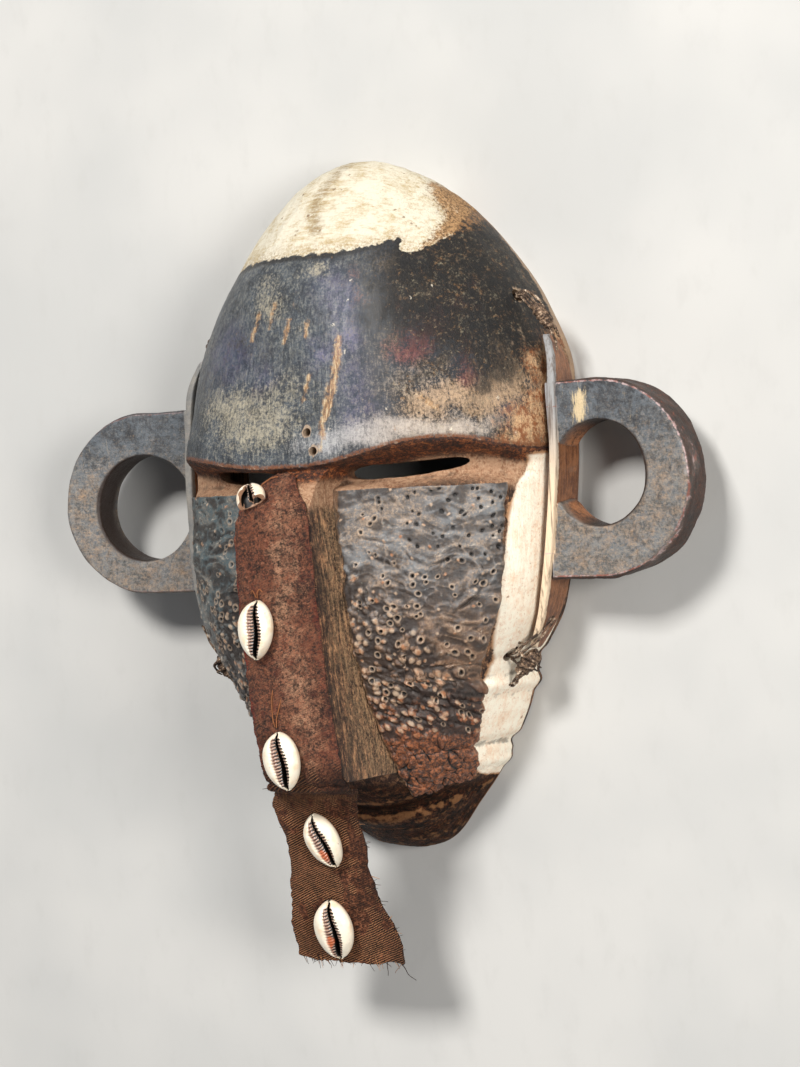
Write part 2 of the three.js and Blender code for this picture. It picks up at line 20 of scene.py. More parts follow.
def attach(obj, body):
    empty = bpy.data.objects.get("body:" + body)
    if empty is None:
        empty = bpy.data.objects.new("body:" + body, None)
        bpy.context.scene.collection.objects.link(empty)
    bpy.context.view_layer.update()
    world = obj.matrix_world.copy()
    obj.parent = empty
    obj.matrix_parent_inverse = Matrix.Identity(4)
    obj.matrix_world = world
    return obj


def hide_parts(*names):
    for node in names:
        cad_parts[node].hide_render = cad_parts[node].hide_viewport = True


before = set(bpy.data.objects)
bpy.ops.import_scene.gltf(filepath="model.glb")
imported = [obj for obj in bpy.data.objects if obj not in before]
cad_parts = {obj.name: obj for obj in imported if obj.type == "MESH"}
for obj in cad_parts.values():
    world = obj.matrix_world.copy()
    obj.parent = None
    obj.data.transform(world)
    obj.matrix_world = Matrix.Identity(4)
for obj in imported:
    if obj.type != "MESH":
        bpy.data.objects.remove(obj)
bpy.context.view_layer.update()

log = logging.getLogger("mask")
Array = np.ndarray
Color = tuple[float, float, float]
Point = tuple[float, float, float]
Line = Sequence[Sequence[float]]
Spot = tuple[float, float, float, float, float]
Value = "Wire | float"
BODY = "root"
METRE = 0.001
MIDDLE = np.array([1.9, 20.0, 0.0])


class Side(IntEnum):
    """Side of the face, as the viewer sees it; its number is the sign of X there."""

    RIGHT = 1
    LEFT = -1

    @property
    def word(self) -> str:
        """The side's name in a piece's name."""
        return self.name.lower()


def smooth(low: float, high: float, value: Array) -> Array:
    """Smooth step: 0 at low, 1 at high, three t squared less two t cubed between."""
    t = np.clip((np.asarray(value, float) - low) / (high - low), 0, 1)
    return t * t * (3 - 2 * t)


def bell(value: Array, half: float) -> Array:
    """Bell of height 1: the squared cosine of a quarter turn for each half width, and 0 past it."""
    return np.where(np.abs(value) < half, np.cos(np.pi * np.clip(value / half, -1, 1) / 2) ** 2, 0.0)


def blend(first: Array, second: Array, share: Array) -> Array:
    """Straight mix of first and second by share."""
    return first + (second - first) * share


@dataclass(frozen=True)
class Profile:
    """A smooth curve through (place, value) pairs that never overshoots them."""

    pairs: Line

    def __call__(self, place: Array) -> Array:
        """Cubic steps between pairs, with harmonic means of the neighbouring slopes as tangents.

        Args:
            place: where the curve is read.

        Returns:
            The curve's value at each place.
        """
        x, y = np.array(self.pairs, float).T
        slope = np.diff(y) / np.diff(x)
        product = slope[:-1] * slope[1:]
        total = slope[:-1] + slope[1:]
        inner = np.where(product > 0, 2 * product / np.where(product > 0, total, 1), 0.0)
        tangent = np.concatenate([slope[:1], inner, slope[-1:]])
        place = np.clip(np.asarray(place, float), x[0], x[-1])
        k = np.clip(np.searchsorted(x, place, side="right") - 1, 0, len(x) - 2)
        span = x[k + 1] - x[k]
        t = (place - x[k]) / span
        start = (1 + 2 * t) * (1 - t) ** 2 * y[k] + t * (1 - t) ** 2 * span * tangent[k]
        return start + t * t * (3 - 2 * t) * y[k + 1] - t * t * (1 - t) * span * tangent[k + 1]


def scatter(cell: Array, seed: int) -> Array:
    """Repeatable number from -1 to 1 for each whole-number cell, by mixing the bits of its indices."""
    c = np.asarray(cell).astype(np.int64)
    mixed = (c[..., 0] * 73856093) ^ (c[..., 1] * 19349663) ^ (c[..., 2] * 83492791) ^ (seed * 40503 + 977)
    for _ in range(2):
        mixed = ((mixed & 0xFFFFFFFF) ^ ((mixed & 0xFFFFFFFF) >> 16)) * 0x45D9F3B
    mixed = (mixed & 0xFFFFFFFF) ^ ((mixed & 0xFFFFFFFF) >> 16)
    return mixed / 2147483647.5 - 1.0


def noise(points: Array, size: float | Sequence[float], seed: int, octaves: int = 3) -> Array:
    """Smooth noise from about -1 to 1: corner values of a lattice, eased between, each octave half the last.

    Args:
        points: places in millimetres.
        size: width of the largest features, one number or one for each axis.
        seed: choice of pattern.
        octaves: how many finer layers are added.

    Returns:
        One value for each point.
    """
    total = np.zeros(points.shape[:-1])
    for octave in range(octaves):
        place = points / np.asarray(size, float) * 2**octave + 11.7 * octave
        cell = np.floor(place)
        t = place - cell
        t = t * t * (3 - 2 * t)
        for corner in itertools.product((0, 1), repeat=3):
            weight = np.prod(np.where(corner, t, 1 - t), axis=-1)
            total += 0.5**octave * weight * scatter(cell + corner, seed + octave)
    return total / (2 - 0.5 ** (octaves - 1)) * 1.6


@dataclass(frozen=True)
class Spots:
    """Jittered points on a plane, one to a cell, of which a share is kept."""

    size: tuple[float, float]
    seed: int
    keep: Callable[[Array, Array], Array] | float = 1.0
    jitter: float = 0.7

    def nearest(self, x: Array, y: Array) -> tuple[Array, Array, Array]:
        """Distances to the nearest two kept spots, and a random number from -1 to 1 for the nearest.

        Args:
            x: places along the first axis.
            y: places along the second axis.

        Returns:
            Distance to the nearest spot, to the next one, and the nearest spot's own number.
        """
        cx, cy = np.floor(x / self.size[0]), np.floor(y / self.size[1])
        best, second, pick = np.full(x.shape, 99.0), np.full(x.shape, 99.0), np.zeros(x.shape)
        for i, j in itertools.product((-1, 0, 1), repeat=2):
            cell = np.stack([cx + i, cy + j, np.zeros_like(cx)], -1)
            px = (cell[..., 0] + 0.5 + 0.5 * self.jitter * scatter(cell, self.seed)) * self.size[0]
            py = (cell[..., 1] + 0.5 + 0.5 * self.jitter * scatter(cell, self.seed + 1)) * self.size[1]
            share = self.keep(px, py) if callable(self.keep) else self.keep
            kept = scatter(cell, self.seed + 2) * 0.5 + 0.5 < share
            distance = np.where(kept, np.hypot(x - px, y - py), 99.0)
            second = np.where(distance < best, best, np.minimum(second, distance))
            pick = np.where(distance < best, scatter(cell, self.seed + 3), pick)
            best = np.minimum(best, distance)
        return best, second, pick


def steps(zones: Sequence[tuple[float, float, int]]) -> Array:
    """Values through zones of (start, end, count) that follow one another."""
    parts = [np.linspace(low, high, count, endpoint=False) for low, high, count in zones]
    return np.concatenate([*parts, [zones[-1][1]]])


def unit(vectors: Array) -> Array:
    """Vectors of length one."""
    return vectors / np.maximum(np.linalg.norm(vectors, axis=-1, keepdims=True), 1e-9)


def grid_normals(grid: Array) -> Array:
    """Normals of a grid surface: the cross product of its two directions."""
    return unit(np.cross(np.gradient(grid, axis=1), np.gradient(grid, axis=0)))


def grid_quads(rows: int, columns: int, start: int = 0, wrap: bool = False) -> Array:
    """Corner numbers of the quads of a grid, closed round its columns if wrap is set."""
    i, j = np.meshgrid(np.arange(rows - 1), np.arange(columns if wrap else columns - 1), indexing="ij")
    after = (j + 1) % columns
    corners = [i * columns + j, i * columns + after, (i + 1) * columns + after, (i + 1) * columns + j]
    return np.stack(corners, -1).reshape(-1, 4) + start


@dataclass
class Shape:
    """Vertices and faces of closed surfaces, in millimetres, with a value or more for each vertex."""

    points: list[Array] = field(default_factory=list)
    quads: list[Array] = field(default_factory=list)
    triangles: list[Array] = field(default_factory=list)
    values: list[dict[str, Array]] = field(default_factory=list)
    count: int = 0

    def add(self, points: Array, quads: Array, triangles: Array | None = None, **values: Array) -> None:
        """Adds one closed surface, turned so that its faces point outwards.

        Args:
            points: its vertices.
            quads: its four-cornered faces.
            triangles: its three-cornered faces.
            values: named numbers, one for each vertex.
        """
        triangles = np.zeros((0, 3), int) if triangles is None else triangles
        fans = np.concatenate([quads[:, :3], quads[:, [0, 2, 3]], triangles])
        a, b, c = (points[fans[:, k]] for k in range(3))
        if np.einsum("ij,ij->i", a, np.cross(b, c)).sum() < 0:
            quads, triangles = quads[:, ::-1], triangles[:, ::-1]
        self.points.append(points)
        self.quads.append(quads + self.count)
        self.triangles.append(triangles + self.count)
        self.values.append(values)
        self.count += len(points)

    @classmethod
    def loft(cls, rings: Array, **values: Array) -> Shape:
        """A shape of one closed body made from rings."""
        shape = cls()
        shape.add_loft(rings, **values)
        return shape

    @classmethod
    def sheet(cls, top: Array, bottom: Array, **values: Array) -> Shape:
        """A shape of one thin closed sheet."""
        shape = cls()
        shape.add_sheet(top, bottom, **values)
        return shape

    def add_sheet(self, top: Array, bottom: Array, **values: Array) -> None:
        """Adds a thin closed sheet between two grids of one size, with a skirt round its edge."""
        rows, columns = top.shape[:2]
        each = rows * columns
        quads = grid_quads(rows, columns)
        index = np.arange(each).reshape(rows, columns)
        loop = np.concatenate([index[0, :-1], index[:-1, -1], index[-1, :0:-1], index[:0:-1, 0]])
        after = np.roll(loop, -1)
        skirt = np.stack([loop, loop + each, after + each, after], -1)
        both = {name: np.concatenate([v.ravel(), v.ravel()]) for name, v in values.items()}
        points = np.concatenate([top.reshape(-1, 3), bottom.reshape(-1, 3)])
        self.add(points, np.concatenate([quads, quads[:, ::-1] + each, skirt]), **both)

    def add_loft(self, rings: Array, **values: Array) -> None:
        """Adds a closed body from rings; each end is closed by a fan to the middle of its ring."""
        rows, columns = rings.shape[:2]
        ends = np.stack([rings[0].mean(0), rings[-1].mean(0)])
        points = np.concatenate([rings.reshape(-1, 3), ends])
        j = np.arange(columns)
        after = (j + 1) % columns
        last = (rows - 1) * columns
        first_fan = np.stack([after, j, np.full(columns, rows * columns)], -1)
        last_fan = np.stack([last + j, last + after, np.full(columns, rows * columns + 1)], -1)
        full = {name: np.concatenate([v.ravel(), [v[0].mean(), v[-1].mean()]]) for name, v in values.items()}
        self.add(points, grid_quads(rows, columns, wrap=True), np.concatenate([first_fan, last_fan]), **full)

    def add_tubes(self, paths: Array, radius: Array | float, sides: int = 6, **values: Array) -> None:
        """Adds round tubes along paths: each ring stands square to its path, in a frame that barely twists.

        Args:
            paths: one path (points, 3) or several (paths, points, 3).
            radius: radius at each point, or one for all.
            sides: sides of the tube.
            values: named numbers for each path point, spread round the tube.
        """
        paths = paths[None] if paths.ndim == 2 else paths
        radius = np.broadcast_to(radius, paths.shape[:2])
        ahead = unit(np.gradient(paths, axis=1))
        helper = np.where(np.abs(ahead[..., 2:]) > 0.8, [1.0, 0.0, 0.0], [0.0, 0.0, 1.0])
        across = unit(np.cross(ahead, helper))
        up = np.cross(across, ahead)
        angle = np.linspace(0, 2 * np.pi, sides, endpoint=False)[:, None]
        spoke = across[:, :, None] * np.cos(angle) + up[:, :, None] * np.sin(angle)
        rings = paths[:, :, None] + radius[:, :, None, None] * spoke
        for k, ring in enumerate(rings):
            spread = {n: np.repeat(np.broadcast_to(v, paths.shape[:2])[k][:, None], sides, 1)
                      for n, v in values.items()}
            self.add_loft(ring, **spread)

    def build(self, name: str) -> bpy.types.Object:
        """Makes the mesh object in metres at its place in the frame.

        Args:
            name: the object's name.

        Returns:
            The new object, smooth and linked to the scene.
        """
        points = (np.concatenate(self.points) + MIDDLE) * METRE
        quads, triangles = np.concatenate(self.quads), np.concatenate(self.triangles)
        mesh = bpy.data.meshes.new(name)
        mesh.vertices.add(len(points))
        mesh.vertices.foreach_set("co", points.astype(np.float32).ravel())
        corners = np.concatenate([quads.ravel(), triangles.ravel()]).astype(np.int32)
        totals = np.concatenate([np.full(len(quads), 4), np.full(len(triangles), 3)]).astype(np.int32)
        mesh.loops.add(len(corners))
        mesh.loops.foreach_set("vertex_index", corners)
        mesh.polygons.add(len(totals))
        starts = np.concatenate([[0], np.cumsum(totals)[:-1]]).astype(np.int32)
        mesh.polygons.foreach_set("loop_start", starts)
        mesh.polygons.foreach_set("use_smooth", np.ones(len(totals), bool))
        mesh.update(calc_edges=True)
        mesh.validate()
        for key in self.values[0]:
            paint(mesh, key, np.concatenate([v[key].ravel() for v in self.values]))
        piece = bpy.data.objects.new(name, mesh)
        bpy.context.scene.collection.objects.link(piece)
        return piece


def paint(mesh: bpy.types.Mesh, name: str, values: Array) -> None:
    """Stores one number for each vertex under a name."""
    layer = mesh.attributes.get(name) or mesh.attributes.new(name, "FLOAT", "POINT")
    layer.data.foreach_set("value", np.ascontiguousarray(values, np.float32))


def millimetres(mesh: bpy.types.Mesh) -> Array:
    """Vertices of a mesh in millimetres from the middle of the face."""
    co = np.zeros(len(mesh.vertices) * 3, np.float32)
    mesh.vertices.foreach_get("co", co)
    return co.reshape(-1, 3).astype(float) / METRE - MIDDLE


def combine(target: bpy.types.Object, tool: bpy.types.Object, operation: str) -> None:
    """Cuts or joins target with tool, keeps the result as target's mesh and removes the tool."""
    modifier = target.modifiers.new("combine", "BOOLEAN")
    modifier.operation = operation
    modifier.solver = "MANIFOLD"
    modifier.object = tool
    bpy.context.view_layer.update()
    made = bpy.data.meshes.new_from_object(target.evaluated_get(bpy.context.evaluated_depsgraph_get()))
    target.modifiers.clear()
    old = target.data
    target.data = made
    made.name = old.name
    bpy.data.meshes.remove(old)
    bpy.data.objects.remove(tool)


def soften(mesh: bpy.types.Mesh, degrees: float) -> None:
    """Shades a mesh smooth, except across edges sharper than the given angle."""
    mesh.polygons.foreach_set("use_smooth", np.ones(len(mesh.polygons), bool))
    mesh.set_sharp_from_angle(angle=math.radians(degrees))


def paint_edges(mesh: bpy.types.Mesh, rounds: int = 3) -> None:
    """Stores how far each vertex stands out from its neighbours, along its normal, as "ridge".

    Args:
        mesh: the mesh to measure.
        rounds: how often the measure is averaged over neighbours.
    """
    ends = np.zeros(len(mesh.edges) * 2, np.int32)
    mesh.edges.foreach_get("vertices", ends)
    a, b = ends.reshape(-1, 2).T
    normals = np.zeros(len(mesh.vertices) * 3, np.float32)
    mesh.vertex_normals.foreach_get("vector", normals)
    normals = normals.reshape(-1, 3)
    co = millimetres(mesh)
    near = np.maximum(np.bincount(a, minlength=len(co)) + np.bincount(b, minlength=len(co)), 1)

    def mean(values: Array) -> Array:
        """Mean over each vertex's neighbours."""
        return (np.bincount(a, values[b], len(co)) + np.bincount(b, values[a], len(co))) / near

    middle = np.stack([mean(co[:, k]) for k in range(3)], -1)
    length = mean(np.linalg.norm(co - middle, axis=1)) + 0.3
    ridge = ((co - middle) * normals).sum(1) / length
    for _ in range(rounds):
        ridge = (ridge + mean(ridge)) / 2
    paint(mesh, "ridge", ridge)


def keep(piece: bpy.types.Object, slot: str, *nodes: str) -> None:
    """Ties a finished piece to the body, hides the solids it stands for, and reports it."""
    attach(piece, BODY)
    if nodes:
        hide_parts(*nodes)
    triangles = sum(len(p.vertices) - 2 for p in piece.data.polygons)
    log.info("%s: %d triangles", piece.name, triangles)


def trace(points: Line, count: int) -> Array:
    """Places along a smooth line through points, evenly spread by length."""
    line = np.asarray(points, float)
    length = np.concatenate([[0], np.cumsum(np.linalg.norm(np.diff(line, axis=0), axis=1))])
    at = np.linspace(0, length[-1], count)
    return np.stack([Profile(tuple(zip(length, line[:, k])))(at) for k in range(line.shape[1])], -1)


def from_line(x: Array, y: Array, line: Line) -> tuple[Array, Array]:
    """Distance from each place to a line of straight pieces, and the share of it before the nearest point."""
    best, share = np.full(np.shape(x), 1e6), np.zeros(np.shape(x))
    pieces = len(line) - 1
    for k, ((ax, ay), (bx, by)) in enumerate(zip(line, line[1:])):
        across, up = bx - ax, by - ay
        t = np.clip(((x - ax) * across + (y - ay) * up) / max(across**2 + up**2, 1e-9), 0, 1)
        distance = np.hypot(x - ax - t * across, y - ay - t * up)
        share = np.where(distance < best, (k + t) / pieces, share)
        best = np.minimum(best, distance)
    return best, share


def inside(x: Array, y: Array, outline: Line) -> Array:
    """Depth of each place inside a closed outline, negative outside it."""
    loop = [*outline, outline[0]]
    distance, _ = from_line(x, y, loop)
    odd = np.zeros(np.shape(x), bool)
    for (ax, ay), (bx, by) in zip(loop, loop[1:]):
        if ay != by:
            odd ^= ((ay > y) != (by > y)) & (x < ax + (y - ay) * (bx - ax) / (by - ay))
    return np.where(odd, distance, -distance)


def tone(red: float, green: float, blue: float) -> tuple[float, ...]:
    """Linear colour of a display colour given from 0 to 255."""
    parts = [c / 255 for c in (red, green, blue)]
    linear = [c / 12.92 if c <= 0.04045 else ((c + 0.055) / 1.055) ** 2.4 for c in parts]
    return (*linear, 1.0)


@dataclass(frozen=True)
class Wire:
    """A socket's output that can be added, subtracted and multiplied."""

    graph: Graph
    socket: bpy.types.NodeSocket

    def __add__(self, other: Value) -> Wire:
        return self.graph.math("ADD", self, other)

    def __sub__(self, other: Value) -> Wire:
        return self.graph.math("SUBTRACT", self, other)

    def __rsub__(self, other: float) -> Wire:
        return self.graph.math("SUBTRACT", other, self)

    def __mul__(self, other: Value) -> Wire:
        return self.graph.math("MULTIPLY", self, other)

    __radd__ = __add__
    __rmul__ = __mul__


class Graph:
    """Builds the nodes of one material or node group."""

    def __init__(self, tree: bpy.types.NodeTree, material: bpy.types.Material | None = None) -> None:
        self.tree = tree
        self.material = material
        self.coordinates: Wire | None = None

    def node(self, kind: str, inputs: dict[int | str, object] | None = None, out: int | str = 0,
             **settings: object) -> Wire:
        """Adds a node.

        Args:
            kind: the node's type.
            inputs: wires or constants for its sockets, by name or number.
            out: the socket that is returned.
            settings: the node's own settings.

        Returns:
            The chosen output.
        """
        made = self.tree.nodes.new(kind)
        for key, setting in settings.items():
            setattr(made, key, setting)
        for key, given in (inputs or {}).items():
            if isinstance(given, Wire):
                self.tree.links.new(given.socket, made.inputs[key])
            else:
                made.inputs[key].default_value = given
        return Wire(self, made.outputs[out])

    def math(self, operation: str, *given: Value) -> Wire:
        """Arithmetic on one, two or three values."""
        return self.node("ShaderNodeMath", dict(enumerate(given)), operation=operation)

    def most(self, *given: Value) -> Wire:
        """The largest of the values."""
        total = given[0]
        for other in given[1:]:
            total = self.math("MAXIMUM", total, other)
        return total

    def share(self, value: Value, low: Value, high: Value) -> Wire:
        """0 below low and 1 above high, with a smooth step between."""
        inputs = {"Value": value, "From Min": low, "From Max": high}
        return self.node("ShaderNodeMapRange", inputs, interpolation_type="SMOOTHSTEP")

    def mix(self, first: Color | Wire, second: Color | Wire, factor: Value) -> Wire:
        """Mix of two colours, each a wire or a display colour."""
        first, second = (c if isinstance(c, Wire) else tone(*c) for c in (first, second))
        return self.node("ShaderNodeMix", {0: factor, 6: first, 7: second}, out=2, data_type="RGBA")

    def field(self, name: str) -> Wire:
        """A number stored on the mesh."""
        return self.node("ShaderNodeAttribute", out="Fac", attribute_name=name)

    def place(self) -> Wire:
        """Place on the object in millimetres."""
        if self.coordinates is None:
            own = self.node("ShaderNodeTexCoord", out="Object")
            self.coordinates = self.node("ShaderNodeVectorMath", {0: own, "Scale": 1000.0}, operation="SCALE")
        return self.coordinates

    def noise(self, size: float, seed: float = 0, detail: float = 4, rough: float = 0.6,
              stretch: Point = (1, 1, 1)) -> Wire:
        """Soft noise from 0 to 1 with features of about the given size in millimetres."""
        scaled = [1 / (size * s) for s in stretch]
        offset = (seed, 0.37 * seed, 0)
        moved = {0: self.place(), 1: scaled, 2: offset}
        at = self.node("ShaderNodeVectorMath", moved, operation="MULTIPLY_ADD")
        inputs = {"Vector": at, "Scale": 1.0, "Detail": detail, "Roughness": rough}
        return self.node("ShaderNodeTexNoise", inputs)

    def grit(self, size: float, seed: float = 0, stretch: Point = (1, 1, 1), rough: float = 0.8) -> Wire:
        """Strong noise about 0.5, with grains of many sizes up to the given one in millimetres."""
        return (self.noise(size, seed, 6, rough, stretch) - 0.5) * 1.8 + 0.5

    def cover(self, grains: Wire, part: Value, soft: float = 0.14) -> Wire:
        """Mask of grains that covers about the given part of a surface."""
        return self.share(grains + part * 0.6, 0.84 - soft, 0.84 + soft)

    def group(self, name: str, out: str = "Mask", **inputs: object) -> Wire:
        """Adds one of the shared groups."""
        return self.node("ShaderNodeGroup", inputs, out, node_tree=SHARED[name])

    def border(self, depth: str | Wire, size: float, rough: float, soft: float) -> Wire:
        """Mask where a depth is above 0, with a ragged and softened border."""
        depth = self.field(depth) if isinstance(depth, str) else depth
        return self.group("Ragged border", Field=depth, Place=self.place(), Size=size, Rough=rough, Soft=soft)

    def edge_wear(self, size: float, amount: float, name: str = "Edge wear") -> Wire:
        """Mask of the worn ridges."""
        return self.group(name, Ridge=self.field("ridge"), Place=self.place(), Size=size, Amount=amount)

    def dust(self, size: float, amount: float) -> Wire:
        """Mask of grime and painted shade in the hollows."""
        return self.edge_wear(size, amount, "Dust")

    def speckle(self, spacing: float, share: float) -> Wire:
        """Mask of small spots."""
        return self.group("Speckle", Place=self.place(), Spacing=spacing, Share=share)


SHARED: dict[str, bpy.types.NodeTree] = {}


def shared(name: str, inputs: dict[str, float | None], outputs: Sequence[str],
           fill: Callable[[Graph, dict[str, Wire]], dict[str, Wire]]) -> None:
    """Builds a shared node group.

    Args:
        name: the group's name.
        inputs: each input's first value, or None for a place.
        outputs: names of its output values.
        fill: makes the nodes and returns a wire for each output.
    """
    tree = bpy.data.node_groups.new(name, "ShaderNodeTree")
    for key, start in inputs.items():
        kind = "NodeSocketVector" if start is None else "NodeSocketFloat"
        socket = tree.interface.new_socket(key, in_out="INPUT", socket_type=kind)
        if start is not None:
            socket.default_value = start
    for key in outputs:
        tree.interface.new_socket(key, in_out="OUTPUT", socket_type="NodeSocketFloat")
    graph = Graph(tree)
    entry = tree.nodes.new("NodeGroupInput")
    leave = tree.nodes.new("NodeGroupOutput")
    made = fill(graph, {key: Wire(graph, entry.outputs[key]) for key in inputs})
    for key, wire in made.items():
        tree.links.new(wire.socket, leave.inputs[key])
    SHARED[name] = tree


def build_shared() -> None:
    """Builds the shared effects: ragged borders, grain, speckle, edge wear, dust with painted shade in the
    hollows, and weave.
    """

    def sized(graph: Graph, place: Wire, size: Value) -> Wire:
        """Place divided by a size."""
        return graph.node("ShaderNodeVectorMath", {0: place, "Scale": graph.math("DIVIDE", 1.0, size)},
                          operation="SCALE")

    def texture(graph: Graph, at: Wire, detail: float = 5, rough: float = 0.62) -> Wire:
        """Noise at a scaled place, from -1 to 1."""
        inputs = {"Vector": at, "Scale": 1.0, "Detail": detail, "Roughness": rough}
        raw = graph.node("ShaderNodeTexNoise", inputs)
        return graph.share(raw, 0.28, 0.72) * 2.0 - 1.0

    def ragged(graph: Graph, given: dict[str, Wire]) -> dict[str, Wire]:
        """A border at field 0, moved in and out by noise and softened."""
        jitter = texture(graph, sized(graph, given["Place"], given["Size"]), 6, 0.68) * given["Rough"]
        moved = given["Field"] + jitter
        half = given["Soft"]
        return {"Mask": graph.share(moved, half * -1.0, half)}

    def grain(graph: Graph, given: dict[str, Wire]) -> dict[str, Wire]:
        """Wood fibres that run along Y, and the fine cracks between them."""
        across = graph.math("DIVIDE", 1.0, given["Width"])
        up = graph.math("DIVIDE", 1.0, given["Length"])
        stretch = graph.node("ShaderNodeCombineXYZ", {0: across, 1: up, 2: across})
        bent = graph.node("ShaderNodeVectorMath", {0: given["Place"], 1: stretch}, operation="MULTIPLY")
        fibre = texture(graph, bent, 7, 0.7)
        crack = 1.0 - graph.share(graph.math("ABSOLUTE", fibre), 0.0, 0.1)
        return {"Value": fibre * 0.5 + 0.5, "Crack": crack}

    def speckle(graph: Graph, given: dict[str, Wire]) -> dict[str, Wire]:
        """Small uneven spots on a share of the cells."""
        at = sized(graph, given["Place"], given["Spacing"])
        warp = graph.node("ShaderNodeTexNoise", {"Vector": at, "Scale": 3.0, "Detail": 2.0}, out="Color")
        by_half = {0: warp, 1: (0.5, 0.5, 0.5), 2: at}
        moved = graph.node("ShaderNodeVectorMath", by_half, operation="MULTIPLY_ADD")
        near = graph.node("ShaderNodeTexVoronoi", {"Vector": moved, "Scale": 1.0}, "Distance")
        pick = graph.node("ShaderNodeSeparateColor", {0: Wire(graph, near.socket.node.outputs["Color"])})
        kept = graph.math("LESS_THAN", pick, given["Share"])
        size = pick * 0.5 + 0.12
        return {"Mask": (1.0 - graph.share(near, size * 0.6, size)) * kept}

    def edge_wear(graph: Graph, given: dict[str, Wire]) -> dict[str, Wire]:
        """Worn ridges, broken up by noise."""
        rough = texture(graph, sized(graph, given["Place"], given["Size"]))
        high = given["Ridge"] * 6.0 + rough * 0.5
        return {"Mask": graph.share(high, 1.25 - given["Amount"], 1.9 - given["Amount"])}

    def dust(graph: Graph, given: dict[str, Wire]) -> dict[str, Wire]:
        """Dirt and painted shade in the hollows, in soft clouds."""
        rough = texture(graph, sized(graph, given["Place"], given["Size"]))
        low = given["Ridge"] * -4.0 + rough * 0.45
        return {"Mask": graph.share(low, 0.75 - given["Amount"], 1.5 - given["Amount"])}

    def weave(graph: Graph, given: dict[str, Wire]) -> dict[str, Wire]:
        """Slanted twill lines with the single threads across them."""
        slant = (given["Across"] * 0.45 + given["Down"]) * (2 * math.pi / 0.95)
        thread = given["Across"] * (2 * math.pi / 0.62)
        lines = graph.math("SINE", slant) * 0.5 + 0.5
        threads = graph.math("SINE", thread + lines * 2.0) * 0.5 + 0.5
        gap = graph.share(1.0 - lines * 0.7 - threads * 0.3, 0.5, 0.9)
        return {"Height": lines * 0.65 + threads * 0.35, "Gap": gap}

    shared("Ragged border", {"Field": 0, "Place": None, "Size": 4, "Rough": 1, "Soft": 0.4}, ["Mask"], ragged)
    shared("Wood grain", {"Place": None, "Width": 0.8, "Length": 14}, ["Value", "Crack"], grain)
    shared("Speckle", {"Place": None, "Spacing": 3, "Share": 0.4}, ["Mask"], speckle)
    shared("Edge wear", {"Ridge": 0, "Place": None, "Size": 4, "Amount": 0.5}, ["Mask"], edge_wear)
    shared("Dust", {"Ridge": 0, "Place": None, "Size": 8, "Amount": 0.5}, ["Mask"], dust)
    shared("Weave", {"Across": 0, "Down": 0}, ["Height", "Gap"], weave)


